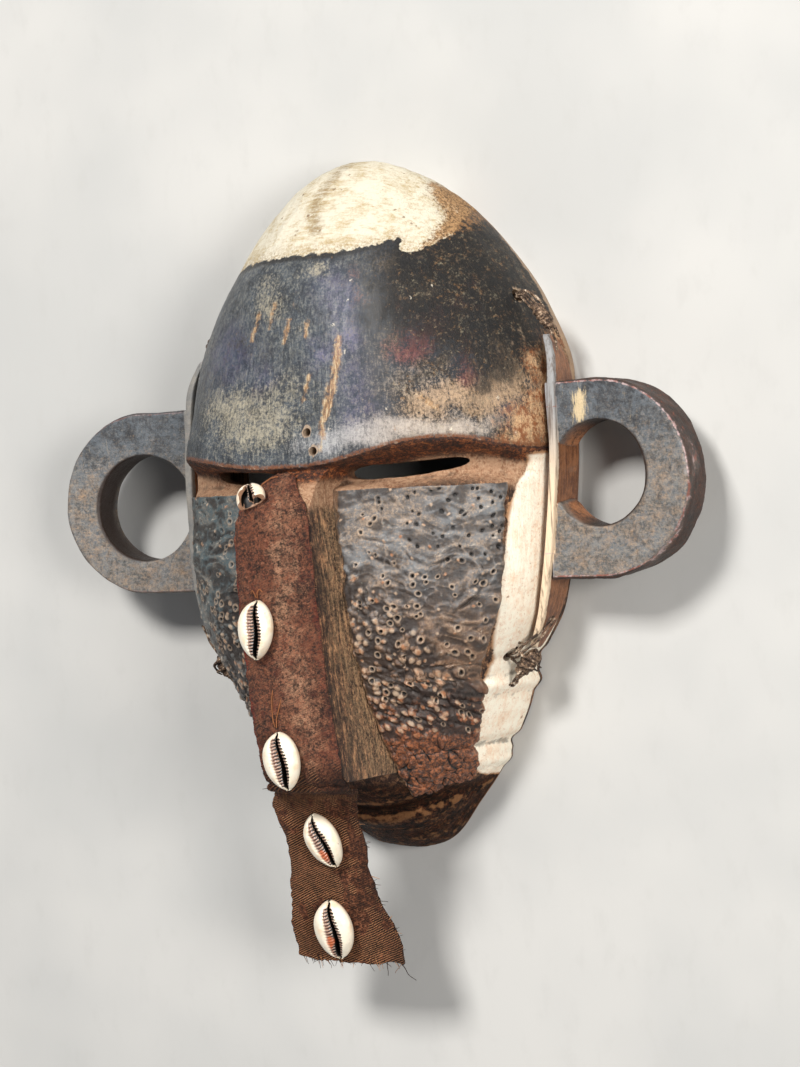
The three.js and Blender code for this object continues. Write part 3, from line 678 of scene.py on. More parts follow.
@dataclass(frozen=True)
class Head:
    """Form of the carved face: rows run from chin to crown, places from the left rim, -1, to the right, 1."""

    chin: float = -140.5
    crown: float = 140.5
    half_width: Profile = Profile((
        (-140.5, 0), (-138.5, 12), (-134, 20.5), (-122, 32), (-106, 45.5), (-88, 56), (-66, 65.5), (-40, 76),
        (-10, 80), (25, 81.5), (52, 81), (80, 71.5), (104, 56.5), (122, 42), (133, 28), (138.5, 13),
        (140.5, 0)))
    skew: Profile = Profile((
        (-140.5, 0), (-118, -3), (-95, -4.2), (-60, -4), (-20, -2), (30, 0), (140.5, -1)))
    cheek: Profile = Profile((
        (-140.5, 0), (-138, 11), (-134, 19), (-122, 33), (-110, 43), (-99, 50), (-80, 57.5), (-66, 62),
        (-50, 65.5), (-30, 67), (0, 65.5), (30, 64)))
    forehead: Profile = Profile((
        (0, 75.5), (25, 74.5), (52, 71), (80, 66), (104, 57), (122, 45), (133, 34), (138.5, 22), (140.5, 0)))
    squareness: Profile = Profile((
        (-140.5, 2), (-95, 2.15), (-60, 2.6), (-25, 3), (15, 3), (40, 2.55), (60, 2.35), (90, 2.3),
        (140.5, 2.1)))
    chips: tuple[Point, ...] = (
        (-62, 22, -2.2), (-60, 3.5, -1.5), (-71, 5, 2.4), (-95, 4, -2.4), (-103, 4, 1.6))
    crown_from: float = 88.0
    crown_lift: float = 8.0
    crown_height: float = 22.0
    brow: float = 18.5
    brow_depth: float = 9.3
    arch_right: float = 8.6
    arch_left: float = 6.0
    underside: float = 4.3
    eye_floor: float = 7.1
    lid: float = 9.6
    eye_groove: float = 6.0
    nose_share: float = 0.28
    nose_flat: float = 0.9
    nose_centre: Profile = Profile((
        (-140, 0), (-122, -2), (-102, -3.5), (-79, -6.4), (-59, -8.8), (-32, -11), (0, -12.6), (10, -9.5),
        (18, -4), (40, -1), (100, 0)))
    nose_half: Profile = Profile((
        (-140, 14), (-102, 19.2), (-60, 19.2), (-30, 19), (0, 17.4), (18, 12), (60, 16), (140, 16)))
    nose_crest: Profile = Profile((
        (-104, 82), (-101, 85.5), (-92, 87), (-40, 86.5), (-12, 85.5), (0, 83.5), (8, 80), (18, 73)))
    nose_tip: float = -103.2
    mouth: float = -121.0
    mouth_curve: float = 0.01
    mouth_depth: float = 4.5
    mouth_half: float = 3.4
    lip_drop: float = 5.2
    lip_rise: float = 1.8

    def arch(self, x: Array) -> Array:
        """How far the brow's edge rises over its lowest point at x."""
        right = self.arch_right * smooth(-4, 50, x) * (1 - 0.6 * smooth(56, 82, x))
        return np.where(x < 0, self.arch_left * smooth(20, 74, -x), right)

    def bend(self, row: Array) -> Array:
        """How much of the brow's arch a row takes."""
        below = np.clip(1 - (self.brow - row) / self.brow_depth, 0, None)
        return np.where(row < self.brow, below, 1 - smooth(0, 55, row - self.brow))

    def rim(self, y: Array, side: Array) -> Array:
        """Half width of the rim at y, with the chips of its lower right edge."""
        chips = sum(depth * bell(y - at, half) for at, half, depth in self.chips)
        return self.half_width(y) + np.where(side > 0, chips, 0)

    def lifted(self, y: Array, z: Array) -> Array:
        """y with the crown moved forward, so that its peak stands over the rim."""
        far = self.crown + 20
        share = smooth(self.crown_from, far, y) / smooth(self.crown_from, far, self.crown)
        return y + self.crown_lift * share * (np.clip(z / self.crown_height, 0, 1) ** 0.8 - 0.6)

    def surface(self, row: Array, place: Array) -> Array:
        """Points of the face.

        Args:
            row: height on the face, before the brow and mouth bend it.
            place: from -1 at the left rim to 1 at the right rim.

        Returns:
            The points, in the shape of row and place together.
        """
        row, place = np.broadcast_arrays(np.asarray(row, float), np.asarray(place, float))
        side = np.where(place < 0, -1.0, 1.0)
        square = self.squareness(row)
        width = np.maximum(self.half_width(row), 1e-3)
        half = np.minimum(self.nose_half(row), 0.5 * width)
        centre = (self.nose_centre(row) - self.skew(row)) * smooth(0, 40, width)
        nose = np.abs(place) <= self.nose_share + 1e-9
        u = place / self.nose_share
        foot = np.clip(np.abs(centre + side * half) / width, 0, 1)
        angle = (1 - np.abs(place)) / (1 - self.nose_share) * np.arccos(foot ** (square / 2))
        off_ratio = side * np.clip(np.cos(angle), 0, 1) ** (2 / square)
        ratio = np.where(nose, (centre + half * u) / width, off_ratio)
        on_rise = np.clip(1 - np.abs(ratio) ** square, 0, 1) ** (1 / square)
        rise = np.where(nose, on_rise, np.clip(np.sin(angle), 0, 1) ** (2 / square))
        flat_x = ratio * width
        mouth_bend = self.mouth_curve * flat_x**2 * (1 - smooth(0, 18, np.abs(row - self.mouth)))
        y = row + self.arch(flat_x) * self.bend(row) + mouth_bend
        rim = np.where(np.abs(ratio) > 0.5, self.rim(y, side), self.half_width(y))
        x = ratio * np.maximum(rim, 1e-3) + self.skew(y)
        below = self.brow - row
        z = rise * blend(self.forehead(y), self.cheek(y), smooth(0, self.underside, below))
        eye = smooth(0, self.underside, below) * (1 - smooth(self.eye_floor, self.lid, below))
        eye = eye * (1 - smooth(66, 80, np.abs(x))) * np.where(nose, smooth(0.5, 1, np.abs(u)), 1)
        z = z - self.eye_groove * eye * smooth(0, 20, z)
        z = z - self.mouth_depth * bell(row - self.mouth, self.mouth_half) * smooth(4, 20, z)
        lip = self.mouth - self.lip_drop
        z = z + self.lip_rise * bell(row - lip, self.mouth_half) * smooth(4, 20, z)
        front = 1 - smooth(self.nose_flat, 1, np.abs(u))
        length = smooth(0, 3, below) * smooth(self.nose_tip - 1.3, self.nose_tip, row)
        raised = z + (self.nose_crest(row) - 2 * u * u - z) * front * length
        z = np.where(nose & (row < self.brow), raised, z)
        return np.stack([x, self.lifted(y, z), np.maximum(z, 0)], -1)


HEAD = Head()


def stained(x: Array, y: Array, spots: Sequence[Spot]) -> Array:
    """Union of soft oval stains, each given by its middle, half width, half height and strength."""
    clear = np.ones(np.shape(x))
    for cx, cy, wide, tall, strength in spots:
        clear = clear * (1 - strength * np.exp(-0.8 * (((x - cx) / wide) ** 2 + ((y - cy) / tall) ** 2)))
    return 1 - clear


@dataclass(frozen=True)
class FaceMarks:
    """Where each colour lies on the face, as depths in millimetres or shares from 0 to 1."""

    cap: Profile = Profile((
        (-80, 97), (-50, 100), (-25, 102.3), (5, 102.2), (19, 103.5), (27, 105.4), (31, 106), (36, 100.4),
        (41, 102), (44, 105.5), (48, 108)))
    cap_end: Profile = Profile((
        (90, 40), (100, 42), (106, 45), (112, 46), (117, 44.6), (121, 41.6), (127, 37), (140, 30)))
    blob: Line = ((31, 106), (32.5, 101), (37, 99.5), (40, 102), (39, 107), (35, 108))
    streak: Line = ((-4, 139), (-6, 131), (-8, 124), (-7, 118), (-4, 113))
    scars: tuple[tuple[float, Line], ...] = (
        (1.7, ((11.5, 69), (11.5, 61), (10.5, 52), (9, 44), (7.5, 37))), (1.0, ((8, 50), (6.5, 39), (6, 29),
        (5, 25))), (0.8, ((-1, 54), (-3, 45))), (0.9, ((-10, 77), (-12, 68))), (0.8, ((-2, 76), (-2.5, 70))),
        (0.9, ((-26, 80), (-29, 70))), (0.7, ((-18, 84), (-20, 74))), (0.6, ((44, 44), (52, 38))))
    dust: tuple[Spot, ...] = (
        (-40, 44, 21, 11, 0.85), (-19, 36, 19, 10, 0.75), (-30, 28, 17, 8, 0.6), (-24, 89, 9, 11, 0.7),
        (-19, 80, 5, 7, 0.6), (-60, 70, 8, 18, 0.5), (1, 96, 5, 3.4, 1), (-2, 72, 4.2, 5, 0.6),
        (-10, 52, 11, 8, 0.5), (28, 97, 6, 5, 0.7), (38, 84, 7, 6, 0.55), (46, 84, 3, 4, 0.7),
        (31, 70, 5, 6.5, 0.3), (56, 43, 13, 8, 0.95), (45, 40, 8, 6.5, 0.8), (71, 49, 6, 10, 0.9),
        (69, 61, 4, 6, 0.7), (24, 41, 4.5, 4, 0.45), (70, 40, 6, 8, 0.9), (-8, 94, 4, 5.4, 0.45),
        (8, 46, 6, 10, 0.35), (62, 75, 4, 4, 0.3), (52, 101, 8, 4, 0.5))
    # Spots of clean dark blue patina, on which the finish also paints a purple sheen.
    blue: tuple[Spot, ...] = (
        (-43, 65, 13, 9, 0.9), (5, 62, 6, 5, 1), (16, 68, 5, 5, 1), (13, 80, 6, 8, 0.8), (22, 38, 7, 7, 0.7),
        (-22, 54, 6, 4.5, 0.6), (6, 89, 6, 6, 0.6), (18, 52, 6, 8, 0.6), (74, 34, 3, 5, 0.4))
    black: tuple[Spot, ...] = (
        (59, 77, 10, 12, 0.9), (67, 54, 4, 6, 0.9), (27, 77, 8, 5.4, 0.55), (67, 48, 3.6, 5, 0.7),
        (45, 94, 11, 5, 0.7), (-36, 68, 12, 7, 0.6), (-51, 58, 9, 7, 0.5), (69, 73, 3, 11, 0.8),
        (62, 92, 9, 8, 0.7), (-64, 50, 5, 16, 0.4))
    red: tuple[Spot, ...] = (
        (21, 84, 7, 4, 0.8), (16, 94, 5, 6, 0.8), (44, 72, 13, 10, 0.75), (38, 58, 10, 7, 0.95),
        (61, 50, 7, 6, 0.95), (59, 60, 3.4, 6.4, 0.7), (57, 88, 4.4, 4.4, 0.8), (56, 78, 6, 3.4, 0.8),
        (46, 65, 8.4, 5, 0.75), (34, 79, 2.2, 4.3, 0.6))
    # Spots of pale rubbed patina above the brow, which the finish also paints bright as a highlight.
    sheen: tuple[Spot, ...] = (
        (9, 27, 7, 5.3, 0.85), (24, 30, 12, 4.6, 0.95), (41, 31, 11, 4.6, 0.95), (57, 31, 10, 4.2, 0.9),
        (-5, 27, 6, 6, 0.5), (67, 31, 5, 3.3, 0.5), (42, 50, 16, 8, 0.35))
    corner: tuple[Spot, ...] = (
        (77, 30, 6, 8, 1), (80, 48, 4, 16, 0.9), (78, 66, 3, 12, 0.8), (74, 22, 9, 4, 0.8))
    band_right: Line = (
        (76, 19.5), (74.5, 15), (72.5, 9), (69.6, -4), (66, -26), (63, -41), (57, -56), (50, -72),
        (42.5, -90), (37, -101), (38, -108), (42, -113), (60, -110), (84, -60), (86, 0), (86, 21))
    band_left: Line = (
        (-71, -12), (-71, -24), (-67, -44), (-60, -62), (-50, -78), (-84, -84), (-86, -20))

    def store(self, mesh: bpy.types.Mesh) -> None:
        """Computes every field at the mesh's vertices and stores it."""
        points = millimetres(mesh)
        x, y, z = points.T
        wander = noise(points, 18, 700, 2)
        across = x + 2.6 * noise(points, 8, 701, 2)
        up = y + 2.6 * noise(points, 8, 702, 2)
        streak, _ = from_line(x, y, self.streak)
        scars = [(from_line(x + 0.4 * wander, y, line), half) for half, line in self.scars]
        scar = np.maximum.reduce([half * (0.4 + 0.9 * share**0.6 * (1.3 - share)) - away
                                  for (away, share), half in scars])
        past_cap = x - self.cap_end(y)
        fields = {
            "cap": np.maximum(np.minimum(y - self.cap(x), self.cap_end(y) - x), inside(x, y, self.blob)),
            "fade": smooth(-9, -1, past_cap) * (1 - smooth(1, 7, past_cap)) * smooth(-4, 3, y - self.cap(x)),
            "streak": 2.6 - streak,
            "scar": scar,
            "warm": smooth(5, 45, x),
            "below": HEAD.brow + HEAD.arch(x) - y,
            "high": smooth(60, 108, y + 0.4 * x),
            "foot": np.abs(x - HEAD.nose_centre(y)) - HEAD.nose_half(y),
            "root": smooth(2, 14, y) * (1 - smooth(16, 24, np.abs(x - 8))),
            "band": np.maximum(inside(x, y, self.band_right), inside(x, y, self.band_left)) - 99 * (z < 0.6),
            "chin": 1 - smooth(-113, -103, y + 3 * wander),
            "cavity": 1 - smooth(1.0, 1.06, FaceShell.cavity_share(points)),
        }
        for name in ("dust", "blue", "black", "red", "sheen", "corner"):
            fields[name] = stained(across, up, getattr(self, name))
        for name, values in fields.items():
            paint(mesh, name, values)


@dataclass
class FaceShell:
    """The hollow carved face with its eye slits and holes."""

    wall: float = 8.5
    slit_half: float = 3.1
    slit_narrowing: float = 0.7
    drill: float = 1.7
    tie_drill: float = 2.6
    cavity: Profile = Profile((
        (-130, 0), (-124, 14), (-110, 29), (-95, 38), (-75, 45), (-50, 51), (-10, 53), (20, 52.5), (45, 61),
        (70, 58), (95, 48), (115, 33), (126, 17), (130, 0)))
    slits: tuple[tuple[float, float, float, float, float], ...] = (
        (7.6, 15.2, 57.4, 18, -0.8), (-18, 14.2, -56, 17, -0.6))
    drilled: Line = ((-1, 32), (1.8, 24.6))
    tie_holes: tuple[Point, ...] = (
        (68.5, 82, 22), (60, -59, 27), (-69.5, 82, 10), (-67.5, -59, 27))

    def outer(self) -> Shape:
        """The carved outside, closed flat at the back."""
        share, flat = HEAD.nose_share, HEAD.nose_flat
        right = steps([(share * flat, share, 17), (share, 0.62, 42), (0.62, 0.9, 27), (0.9, 1, 9)])
        places = np.concatenate([-right[::-1], np.linspace(-flat, flat, 42)[1:-1] * share, right])
        brow = HEAD.brow
        lid, floor, under = brow - HEAD.lid, brow - HEAD.eye_floor, brow - HEAD.underside
        rows = steps([(-140.42, -139.6, 4), (-139.6, -130, 14), (-130, -112, 30), (-112, -105, 9),
                      (-105, -102, 8), (-102, 4, 108), (4, lid, 8), (lid, floor, 6), (floor, under, 4),
                      (under, brow, 14), (brow, 30, 14), (30, 130, 96), (130, 139.6, 16), (139.6, 140.45, 5)])
        row, place = np.meshgrid(rows, places, indexing="ij")
        points = HEAD.surface(row, place)
        points = points + grid_normals(points) * self.tooling(points, row, place)[..., None]
        points[..., 2] = np.maximum(points[..., 2], 0)
        return Shape.loft(points)

    @staticmethod
    def tooling(points: Array, row: Array, place: Array) -> Array:
        """Height of the blade's marks and wear over the smooth form."""
        rough = 0.3 * noise(points, (16, 22, 16), 3, 2) + 0.12 * noise(points, (2.2, 7, 3), 5, 2)
        rough = rough + 0.75 * noise(points, (9, 4.5, 6), 9, 4) * (1 - smooth(-118, -108, row))
        crown = 0.35 * noise(points, (7, 16, 9), 8, 2) * smooth(96, 108, points[..., 1])
        off_nose = smooth(0.27, 0.31, np.abs(place))
        skin = smooth(-122, -116, row) * (1 - smooth(8, 12, row)) * (1 - smooth(0.68, 0.74, np.abs(place)))
        under = 1 - 0.65 * np.maximum(skin, (1 - off_nose) * (row < HEAD.brow))
        edge_wear = -0.5 * bell(row - HEAD.brow, 1.6) * smooth(0.2, 0.9, noise(points, 9, 12, 2))
        return ((rough + crown) * under + edge_wear) * smooth(0.5, 5, points[..., 2])

    def hollow(self) -> Shape:
        """The hollow behind the face, a gouged block that runs out past the rim."""
        y = steps([(-129, -100, 22), (-100, 110, 90), (110, 129, 16)])[:, None]
        angle = np.linspace(0, np.pi, 61)[None]
        width = np.maximum(HEAD.half_width(y) - self.wall, 2)
        height = np.maximum(self.cavity(y), 2)
        power = 2 / HEAD.squareness(y)
        across = width * np.sign(np.cos(angle)) * np.abs(np.cos(angle)) ** power
        up = height * np.clip(np.sin(angle), 0, 1) ** power
        points = np.stack([across + HEAD.skew(y), np.broadcast_to(y, up.shape), up], -1)
        points[..., 2] += 0.45 * noise(points, (6, 13, 6), 21, 2) * smooth(0.5, 6, points[..., 2])
        low = np.stack([np.concatenate([-width, width], 1) + HEAD.skew(y), np.repeat(y, 2, 1),
                        np.full((len(y), 2), -self.wall)], -1)
        return Shape.loft(np.concatenate([points, low], 1))

    @classmethod
    def cavity_share(cls, points: Array) -> Array:
        """Below about 1 on the hollow's wall and more on the carved outside."""
        x, y, z = points.T
        square = HEAD.squareness(y)
        width = np.maximum(HEAD.half_width(y) - cls.wall + 1.2, 2)
        height = np.maximum(cls.cavity(y) + 1.2, 2)
        reach = (np.abs(x - HEAD.skew(y)) / width) ** square + (np.clip(z, 0, None) / height) ** square
        return np.where(np.abs(y) > 131, 2.0, reach)

    def cutters(self) -> Shape:
        """The eye slits, the two drilled holes and the four holes of the ties."""
        shape = Shape()
        for k, (x0, y0, x1, y1, sag) in enumerate(self.slits):
            t = np.linspace(0.004, 0.996, 60)
            middle = y0 + (y1 - y0) * t + sag * np.sin(np.pi * t)
            open_by = (self.slit_half - self.slit_narrowing * t) * (1 - np.abs(2 * t - 1) ** 5) ** 0.5
            x = x0 + (x1 - x0) * t
            flat = np.zeros_like(x)
            rough = 0.22 * noise(np.stack([x, flat, flat + 9 * k], -1), 2.6, 31, 3)
            rough_low = 0.22 * noise(np.stack([x, flat, flat + 50 + 9 * k], -1), 2.6, 32, 3)
            top = np.stack([x, middle + open_by + rough * np.sin(np.pi * t)], -1)
            low = np.stack([x, middle - open_by + rough_low * np.sin(np.pi * t)], -1)[::-1]
            loop = np.concatenate([top, low])
            rings = np.stack([np.column_stack([loop, np.full(len(loop), z)]) for z in (30.0, 100.0)])
            shape.add_loft(rings)
        for x, y in self.drilled:
            shape.add_tubes(np.array([[x, y, 40.0], [x + 0.2, y - 0.1, 66.0], [x, y, 90.0]]), self.drill, 24)
        for x, y, z in self.tie_holes:
            side = np.sign(x)
            path = np.array([[x + side * 12, y, z + 2], [x - side * 2, y, z], [x - side * 16, y, z - 2]])
            shape.add_tubes(path, self.tie_drill, 24)
        return shape

    def build(self) -> bpy.types.Object:
        """Makes the face."""
        face = self.outer().build("carved_face")
        combine(face, self.hollow().build("hollow"), "DIFFERENCE")
        combine(face, self.cutters().build("cutters"), "DIFFERENCE")
        soften(face.data, 50)
        FaceMarks().store(face.data)
        paint_edges(face.data)
        return face


@dataclass
class CheekSkin:
    """Thin skin over one cheek, from the foot of the nose to the corner of the face."""

    side: Side
    rows: int = 285
    columns: int = 170
    gap: float = 0.35
    top: float = 1.4
    high: float = 8.9
    low: float = -117.6

    def relief(self, points: Array, along: Array) -> tuple[Array, dict[str, Array]]:
        """Height of the crumples, bumps, punch marks and cracks over the smooth skin, with their masks.

        Args:
            points: the cheek under the skin.
            along: distance from the skin's edge at the nose.

        Returns:
            The height, and the named masks for every place.
        """
        x, y = points[..., 0] * self.side, points[..., 1]
        bend = np.stack([noise(points, 11, 43, 2), noise(points, 11, 44, 2)])
        wx, wy = x + 2.4 * bend[0], y + 2.4 * bend[1]
        upper = smooth(-30, -8, y) * smooth(12, 26, along)

        def crowd(px: Array, py: Array) -> Array:
            """Share of the punch marks kept: most in the upper outer part, few at the nose and low down."""
            outer = 0.3 * smooth(22, 40, px) * smooth(-20, -5, py)
            middle = 0.25 * bell(px - 26, 16) * bell(py + 38, 20)
            return (0.4 + outer + middle) * smooth(-92, -80, py) * smooth(3, 10, px)

        punches = Spots((4.6, 4.4), 50 + self.side, crowd, 0.8)
        distance, _, pick = punches.nearest(along + 0.7 * bend[0], y + 0.7 * bend[1])
        size = 0.7 + 0.18 * pick + 0.2 * upper
        pit = 1 - smooth(0.55, 1.05, distance / size)
        lip = bell(distance / size - 1.5, 1.0) * (1 - 0.8 * upper)
        bumps_here = smooth(-20, -40, y - 0.9 * (16 - along)) * (1 - smooth(-86, -94, y))
        bumps_here = bumps_here * (1 - smooth(22, 38, along + 0.4 * (y + 40)))
        bumps_here = np.maximum(bumps_here, smooth(-56, -66, y) * (1 - smooth(-88, -95, y)) * 0.45)
        bumps = Spots((3.1, 2.8), 60 + self.side, 0.72, 0.9)
        fat, next_fat, fat_pick = bumps.nearest(along + 0.8 * bend[1], y + 0.8 * bend[0])
        dome = np.sqrt(np.clip(1 - (fat / (1.3 + 0.4 * fat_pick)) ** 2, 0, 1)) * bumps_here * (1 - pit)
        single, _, _ = Spots((8.0, 7.0), 64 + self.side, 0.55, 0.9).nearest(along, y)
        pimple = np.exp(-((single / 1.1) ** 2)) * smooth(-84, -76, y)

        def ridged(size: Sequence[float], seed: int) -> Array:
            """Sharp-backed wrinkles with soft hollows between them."""
            return (1 - np.abs(noise(np.stack([wx, wy, 0 * x], -1), size, seed, 2)) * 1.6) ** 2

        crumple = 0.55 * ridged((13, 6.5, 9), 92) + 0.32 * ridged((6, 3.4, 5), 93)
        crumple = crumple + 0.18 * ridged((2.6, 2.0, 2), 94)
        calm = 0.35 + 0.65 * smooth(8, -22, y)
        height = 0.85 * crumple * calm + 0.5 * noise(points, (12, 9, 12), 91, 2)
        bent_x, bent_y = x + 1.1 * noise(points, 5, 71, 3), y + 1.1 * noise(points, 5, 72, 3)
        for fold, width, rise in self.folds():
            away, share = from_line(bent_x, bent_y, fold)
            taper = np.sin(np.pi * np.clip(share, 0.03, 0.97)) ** 0.6
            beside = bell(away - width * 0.95, width * 0.8)
            height = height + rise * taper * (bell(away, width) - 0.5 * beside)
        deep = smooth(-90, -80, y) * (1 - smooth(-62, -50, y + 0.25 * x)) * smooth(1, 5, along)
        slanted = np.stack([x * 0.5 + y * 0.25, y + 0.3 * x, x * 0], -1)
        creases = np.abs(noise(slanted, 5.0, 70, 3))
        height = height - 0.9 * deep * (1 - smooth(0.02, 0.3, creases))
        height = height + 0.45 * deep * smooth(0.35, 0.9, creases)
        scaly = smooth(-84, -96, y + 2 * bend[0])
        cell, rim_cell, cell_pick = Spots((5.2, 3.4), 80, 1.0, 0.98).nearest(wx + 1.0 * bend[1], wy)
        crack = (1 - smooth(0.05, 0.6, rim_cell - cell)) * smooth(-0.5, 0.3, noise(points, 6, 82, 2))
        small = noise(points, 2.0, 84, 3)
        height = height + scaly * (0.35 * cell_pick + 0.1 - 0.7 * crack + 0.6 * small)
        height = height + 0.14 * noise(points, 1.5, 90, 3)
        height = height + 0.85 * dome + 0.5 * pimple * (1 - bumps_here) - 1.15 * pit + 0.34 * lip
        between = bumps_here * (1 - dome) * smooth(0.2, 1.0, next_fat - 1.4)
        folded = 1.2 * deep * (1 - smooth(0.05, 0.4, creases))
        # The finish paints shade on the hollow and punch masks, and highlights on the raised and lip masks
        # along with the bumps' own colour.
        return height, {"punch": np.maximum(pit, 0.8 * scaly * crack), "crumple": crumple,
                        "lip": lip * (1 - pit),
                        "raised": np.maximum(dome * (0.4 + 0.6 * (fat_pick > 0)), pimple),
                        "hollow": np.maximum.reduce([between, folded, scaly * crack])}

    def folds(self) -> list[tuple[Line, float, float]]:
        """Lines of the folds, each with its half width and height."""
        if self.side < 0:
            return [([(30, -20), (40, -28), (52, -30)], 2.4, 0.9),
                    ([(22, -50), (34, -54), (44, -50)], 2.0, 0.7),
                    ([(46, -8), (54, -14), (60, -24)], 2.2, 0.8)]
        return [([(50, -39), (53, -36), (57, -33), (61, -30)], 1.5, 1.3),
                ([(17, -8), (24, -9), (31, -12)], 1.6, 0.7),
                ([(20, -14), (27, -18), (34, -22), (41, -27)], 1.7, 0.9),
                ([(34, -14), (38, -18), (44, -21), (50, -19), (54, -15)], 1.5, 0.85),
                ([(28, -28), (36, -31), (43, -36)], 1.5, 0.55), ([(56, -17), (60, -22), (61, -28)], 1.4, 0.6),
                ([(18, -63), (27, -66), (39, -71)], 1.6, 0.7), ([(34, -70), (42, -73), (50, -71)], 1.5, 0.7),
                ([(22, -78), (30, -80), (37, -84)], 1.5, 0.6), ([(9, -20), (13, -28), (12, -36)], 1.4, 0.5)]

    def build(self) -> bpy.types.Object:
        """Makes the skin."""
        row = np.linspace(self.high, self.low, self.rows)[:, None]
        t = np.linspace(0, 1, self.columns)[None]
        ragged = np.stack([row * 0, row, row * 0], -1)
        start = HEAD.nose_share + 0.005 + 0.0035 * noise(ragged, 5, 100 + self.side, 3)
        end = 0.712 + 0.008 * noise(ragged, 6, 110 + self.side, 4)
        place = start + (end - start) * t
        torn = np.stack([t * 60, t * 0, t * 0], -1)
        edge = 0.7 * noise(torn, 5, 120 + self.side, 4)
        spread = smooth(0, 1, np.arange(self.rows)[:, None] / (self.rows - 1))
        row = row + edge * spread * (row < -60) - 0.5 * np.abs(edge) * (row > 0)
        base = HEAD.surface(row, self.side * place)
        along = np.cumsum(np.linalg.norm(np.diff(base, axis=1, prepend=base[:, :1]), axis=-1), axis=1)
        height, masks = self.relief(base, along)
        normals = grid_normals(base)
        if normals[len(base) // 2, self.columns // 2, 2] < 0:
            normals = -normals
        border = np.minimum(along, along[:, -1:] - along)
        thin = 0.55 + 0.45 * smooth(0, 1.6, border)
        top = base + normals * np.maximum(self.top * thin + height, self.gap + 0.22)[..., None]
        bottom = base + normals * self.gap
        down = smooth(0, 1, (self.high - np.broadcast_to(row, along.shape)) / (self.high - self.low))
        skin = Shape.sheet(top, bottom, border=border, down=down, **masks).build(f"{self.side.word}_skin")
        paint_edges(skin.data, 2)
        return skin


